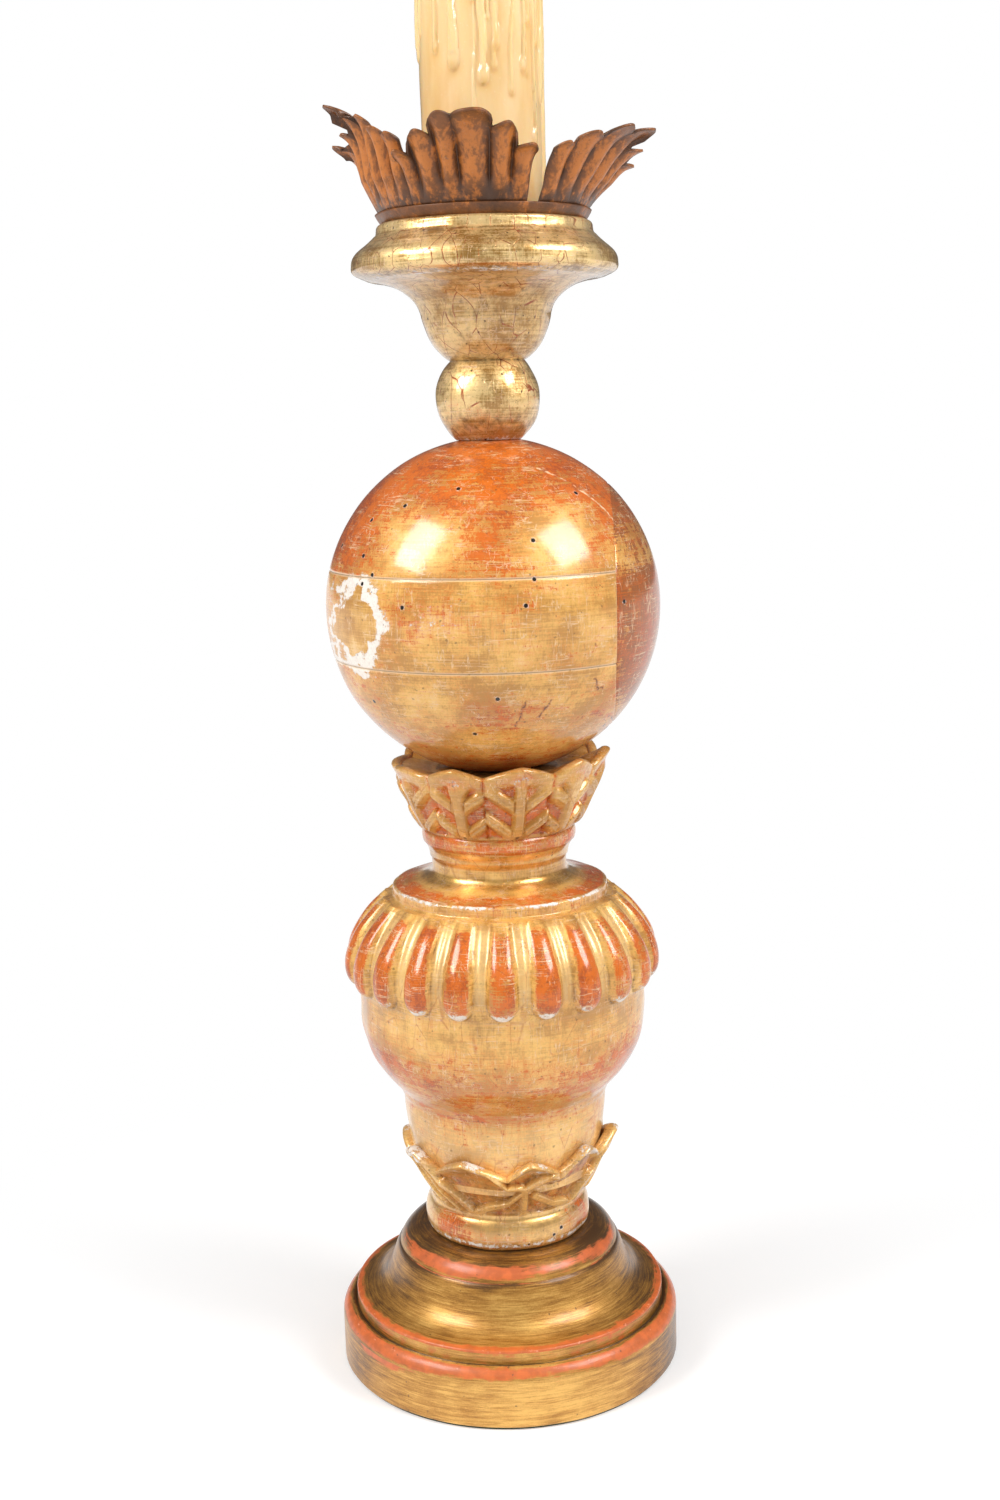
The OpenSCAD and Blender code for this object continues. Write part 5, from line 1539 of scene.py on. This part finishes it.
def drip_heights(angle, height, radius, top):
    """How far drips stand out from the candle, and how close each point is to the underside of a drop.

    A drip is a half-round run from the rim down to its end, where a drop swells; its path wanders a little.
    The drips are the listed ones and some thin seeded ones among them."""
    random = np.random.default_rng(5)
    ranges = ((-180, 180), (50, 125), (1.0, 2.0), (1.4, 2.4))
    thin = np.stack([random.uniform(low, high, THIN_DRIPS) for low, high in ranges], axis=-1)
    out = np.zeros(np.broadcast_shapes(angle.shape, height.shape))
    under = np.zeros_like(out)
    for number, (turn, end, run, drop) in enumerate([*DRIPS, *thin]):
        wander = 0.9 * np.sin(height / 17 + number * 2.1) + 0.5 * np.sin(height / 7 + number)
        gap = (angle - math.radians(turn) + math.pi) % (2 * math.pi) - math.pi
        aside = gap * radius + wander * smooth(height, end, end + 30)
        taper = run * (0.75 + 0.25 * np.sin(height / 11 + number * 1.7))
        strip = np.sqrt(np.clip(1 - (2 * aside / taper)**2, 0, 1)) * 0.36 * run
        strip = strip * smooth(height, end - 0.5, end + 2) * (1 - smooth(height, top - 9, top - 3))
        blob = np.sqrt(np.clip(1 - (2 * aside / drop)**2 - ((height - end) / drop)**2, 0, 1)) * 0.22 * drop
        out = np.maximum(out, np.maximum(strip, blob))
        under = np.maximum(under, hump(aside, 0, 0.5 * drop) * hump(height, end - 0.8 * drop, 0.5 * drop))
    return out, under


class CANDLESTICK_OT_candle(bpy.types.Operator):
    """Pour the candle with its drips and melted pool, and set its burnt wick"""
    bl_idname = "candlestick.candle"
    bl_label = "Candle"

    def execute(self, context):
        s = in_millimetres(context.scene.candlestick_candle)
        colours = context.scene.candlestick_colours
        columns = 310
        angle = directions(columns)[None, :]
        r = s.width / 2
        bore = s.wick_width / 2 + 0.08
        z_pool = s.top - s.pool
        side = line((r, s.bottom + 0.6), (r, s.top - 2.6), 236)
        before = line((LOOSE_HOLE, s.bottom), (r - 0.6, s.bottom), 4)
        after = np.concatenate([
            arc((r - 2.2, s.top - 2.2), 2.2, 8, 120, 9),
            bezier((0.80 * r, s.top - 1.7), (0.62 * r, z_pool), (0.30 * r, z_pool), (bore, z_pool), 12),
            line((bore, z_pool - 1), (bore, s.spike_tip + 1.5), 3),
            line((1.1, s.spike_tip + 0.6), (LOOSE_HOLE, s.bottom + 1.0), 4),
        ])
        out, under = drip_heights(angle, side[:, 1:] - s.bottom, r, s.top - s.bottom)
        skin = 0.10 * wobble(turned(r, angle, 0.4 * side[:, 1:]), 9, seed=2)
        radius = np.concatenate([
            np.broadcast_to(before[:, :1], (len(before), columns)), r + out + skin,
            np.broadcast_to(after[:, :1], (len(after), columns))])
        height = np.concatenate([before[:, 1:], side[:, 1:], after[:, 1:]])
        pad = [(len(before), len(after)), (0, 0)]
        # Under marks where a drop's shadow is painted onto the wax below it.
        masks = {"drip": np.pad(np.clip(out / 1.2, 0, 1), pad), "under": np.pad(under, pad)}
        points = turned(radius, angle, height)
        make_piece("wax_candle", points, "candle", ["candle"], wax_finish(colours), masks=masks)
        self.set_wick(s, z_pool)
        return {"FINISHED"}

    def set_wick(self, s, z_pool):
        """A twisted cord of three strands carried up a path that leans over at its burnt end."""
        columns = 28
        share = np.linspace(0, 1, 60)[:, None]
        around = np.linspace(0, 2 * math.pi, columns, endpoint=False)[None, :]
        path_z = z_pool - 6 + (s.wick_top - z_pool + 5.6) * share
        path_x = 1.7 * smooth(share, 0.45, 1.0)**1.5
        strands = 1 + 0.12 * np.cos(3 * around + 40 * share)
        taper = np.sin(0.5 * math.pi * np.minimum(1, 9 * (1 - share) + 0.04)) * np.minimum(1, 40 * share)
        thick = 0.5 * s.wick_width * strands * taper * (1 - 0.25 * share)
        points = np.stack(np.broadcast_arrays(
            path_x + thick * np.cos(around), thick * np.sin(around), path_z + 0 * around), axis=-1)
        foot, tip = (np.repeat(end.mean(axis=1, keepdims=True), columns, axis=1)
                     for end in (points[:1], points[-1:]))
        points = np.concatenate([foot, points, tip])
        make_piece("burnt_wick", points, "candle", ["wick"], charred_cotton(), close_rows=False)


class CANDLESTICK_OT_ironwork(bpy.types.Operator):
    """Finish the parts that keep their solid shape: the pricket rod, its nuts and washers, and the baize"""
    bl_idname = "candlestick.ironwork"
    bl_label = "Ironwork and baize"

    def execute(self, context):
        colours = context.scene.candlestick_colours
        iron = wrought_iron(colours)
        of_iron = ("pricket_rod", "foot_washer", "foot_nut", "cup_washer", "cup_nut")
        finishes = {name: iron for name in of_iron}
        finishes["baize_disc"] = wool_baize(colours)
        for name, material in finishes.items():
            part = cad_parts[name]
            part.data.materials.clear()
            part.data.materials.append(material)
        return {"FINISHED"}


# Stage

class CANDLESTICK_OT_stage(bpy.types.Operator):
    """Set the pale floor, the two softboxes, the white surround and the camera"""
    bl_idname = "candlestick.stage"
    bl_label = "Stage"

    def execute(self, context):
        s = context.scene.candlestick_stage
        context.scene.view_settings.view_transform = "Standard"
        self.lay_floor(context, s)
        self.hang_softboxes(context, s)
        self.light_surround(context)
        self.place_camera(context, s)
        return {"FINISHED"}

    def lay_floor(self, context, s):
        """A wide pale floor that keeps the shadow and fades into the white surround."""
        mesh = bpy.data.meshes.new("floor")
        corner = 12.0
        brightening = 0.24
        fade_from = 95
        fade_to = 320
        mesh.from_pydata(
            [(-corner, -corner, 0), (corner, -corner, 0), (corner, corner, 0), (-corner, corner, 0)], [],
            [(0, 1, 2, 3)])
        f = Finish("floor")
        path = f.node("ShaderNodeLightPath")
        seen = f.maths("MAXIMUM", path.outputs["Is Camera Ray"], path.outputs["Is Glossy Ray"])
        seen = f.maths("MAXIMUM", seen, path.outputs["Is Transmission Ray"])
        matt = f.node("ShaderNodeBsdfDiffuse")
        matt.inputs["Color"].default_value = (*s.floor_colour, 1)
        glow = f.node("ShaderNodeEmission")
        f.join(f.maths("MULTIPLY", seen, brightening), glow.inputs["Strength"])
        near = f.node("ShaderNodeAddShader")
        f.join(matt.outputs[0], near.inputs[0])
        f.join(glow.outputs[0], near.inputs[1])
        white = f.node("ShaderNodeEmission")
        away = f.maths("MULTIPLY", seen, f.step(f.vector("LENGTH", f.place), fade_from, fade_to))
        fade = f.node("ShaderNodeMixShader")
        f.join(away, fade.inputs[0])
        f.join(near.outputs[0], fade.inputs[1])
        f.join(white.outputs[0], fade.inputs[2])
        f.join(fade.outputs[0], f.node("ShaderNodeOutputMaterial").inputs["Surface"])
        mesh.materials.append(f.material)
        floor = bpy.data.objects.new("floor", mesh)
        context.scene.collection.objects.link(floor)

    def hang_softboxes(self, context, s):
        """Two square softboxes in front of the object, to the left and the right and above."""
        centre = Vector((0, 0, 0.3))
        turn = math.radians(63)
        rise = math.radians(38)
        for name, side in (("softbox_left", -1), ("softbox_right", 1)):
            level = math.cos(rise)
            way = Vector((side * math.sin(turn) * level, -math.cos(turn) * level, math.sin(rise)))
            lamp = bpy.data.lights.new(name, "AREA")
            lamp.shape = "SQUARE"
            lamp.size = s.softbox
            lamp.energy = s.softbox_power
            box = bpy.data.objects.new(name, lamp)
            box.location = centre + way * s.softbox_far
            box.rotation_euler = (-way).to_track_quat("-Z", "Y").to_euler()
            context.scene.collection.objects.link(box)

    def light_surround(self, context):
        """A surround, white where it is seen and a dim room in mirrors, with fill, most from the front."""
        world = bpy.data.worlds.new("surround")
        context.scene.world = world
        world.use_nodes = True
        tree = world.node_tree
        tree.nodes.clear()
        path = tree.nodes.new("ShaderNodeLightPath")
        way = tree.nodes.new("ShaderNodeTexCoord")
        split = tree.nodes.new("ShaderNodeSeparateXYZ")
        tree.links.new(way.outputs["Generated"], split.inputs[0])
        room = tree.nodes.new("ShaderNodeMapRange")
        room.interpolation_type = "SMOOTHSTEP"
        room.inputs["From Min"].default_value = 0.30
        room.inputs["From Max"].default_value = 0.88
        room.inputs["To Min"].default_value = 0.30
        room.inputs["To Max"].default_value = 0.12
        tree.links.new(split.outputs["Y"], room.inputs["Value"])
        fill = tree.nodes.new("ShaderNodeMix")
        fill.data_type = "FLOAT"
        soft = tree.nodes.new("ShaderNodeMapRange")
        soft.inputs["From Min"].default_value = -1.0
        soft.inputs["From Max"].default_value = 1.0
        soft.inputs["To Min"].default_value = 0.88
        soft.inputs["To Max"].default_value = 0.14
        tree.links.new(split.outputs["Y"], soft.inputs["Value"])
        tree.links.new(soft.outputs["Result"], fill.inputs[2])
        tree.links.new(path.outputs["Is Glossy Ray"], fill.inputs[0])
        tree.links.new(room.outputs["Result"], fill.inputs[3])
        clear = tree.nodes.new("ShaderNodeMath")
        clear.operation = "MAXIMUM"
        tree.links.new(path.outputs["Is Camera Ray"], clear.inputs[0])
        tree.links.new(path.outputs["Is Transmission Ray"], clear.inputs[1])
        white = tree.nodes.new("ShaderNodeMix")
        white.data_type = "FLOAT"
        white.inputs[3].default_value = 1.0
        tree.links.new(clear.outputs[0], white.inputs[0])
        tree.links.new(fill.outputs[0], white.inputs[2])
        glow = tree.nodes.new("ShaderNodeBackground")
        glow.inputs["Color"].default_value = (1, 1, 1, 1)
        tree.links.new(white.outputs[0], glow.inputs["Strength"])
        end = tree.nodes.new("ShaderNodeOutputWorld")
        tree.links.new(glow.outputs[0], end.inputs["Surface"])

    def place_camera(self, context, s):
        """A camera in front and a little above, looking down at the object and turned a little."""
        camera = bpy.data.cameras.new("camera")
        camera.lens = s.lens
        camera.sensor_width = 36
        camera.clip_start = 0.01
        eye = bpy.data.objects.new("camera", camera)
        back = Vector((0, -math.cos(s.pitch), math.sin(s.pitch)))
        eye.location = Vector((s.aside, 0, s.aim)) + back * s.distance
        level = Matrix.Rotation(math.pi / 2 - s.pitch, 4, "X")
        eye.rotation_euler = (level @ Matrix.Rotation(-s.roll, 4, "Z")).to_euler()
        context.scene.collection.objects.link(eye)
        context.scene.camera = eye


class CANDLESTICK_PT_panel(bpy.types.Panel):
    """Lists the steps that build the candlestick, and its sizes and colours"""
    bl_idname = "CANDLESTICK_PT_panel"
    bl_label = "Candlestick"
    bl_space_type = "VIEW_3D"
    bl_region_type = "UI"
    bl_category = "Candlestick"

    def draw(self, context):
        for step in STEPS:
            self.layout.operator(step.bl_idname)
        for name, group in GROUPS.items():
            box = self.layout.box()
            for value in group.__annotations__:
                box.prop(getattr(context.scene, name), value)


GROUPS = {
    "candlestick_foot": CandlestickFoot,
    "candlestick_baluster": CandlestickBaluster,
    "candlestick_ball": CandlestickBall,
    "candlestick_cup": CandlestickCup,
    "candlestick_pan": CandlestickPan,
    "candlestick_candle": CandlestickCandle,
    "candlestick_colours": CandlestickColours,
    "candlestick_stage": CandlestickStage,
}
STEPS = (
    CANDLESTICK_OT_stage, CANDLESTICK_OT_foot, CANDLESTICK_OT_baluster, CANDLESTICK_OT_ball,
    CANDLESTICK_OT_cup, CANDLESTICK_OT_drip_pan, CANDLESTICK_OT_candle, CANDLESTICK_OT_ironwork,
)


def register():
    """Registers the property groups, the operators and the panel."""
    for made in (*GROUPS.values(), *STEPS, CANDLESTICK_PT_panel):
        bpy.utils.register_class(made)
    for name, group in GROUPS.items():
        setattr(bpy.types.Scene, name, bpy.props.PointerProperty(type=group))


def unregister():
    """Takes the panel, the operators and the property groups away again."""
    for name in GROUPS:
        delattr(bpy.types.Scene, name)
    for made in reversed((*GROUPS.values(), *STEPS, CANDLESTICK_PT_panel)):
        bpy.utils.unregister_class(made)


def main():
    """Builds every piece in order."""
    register()
    bpy.ops.candlestick.stage()
    bpy.ops.candlestick.foot()
    bpy.ops.candlestick.baluster()
    bpy.ops.candlestick.ball()
    bpy.ops.candlestick.cup()
    bpy.ops.candlestick.drip_pan()
    bpy.ops.candlestick.candle()
    bpy.ops.candlestick.ironwork()


if __name__ == "__main__":
    main()
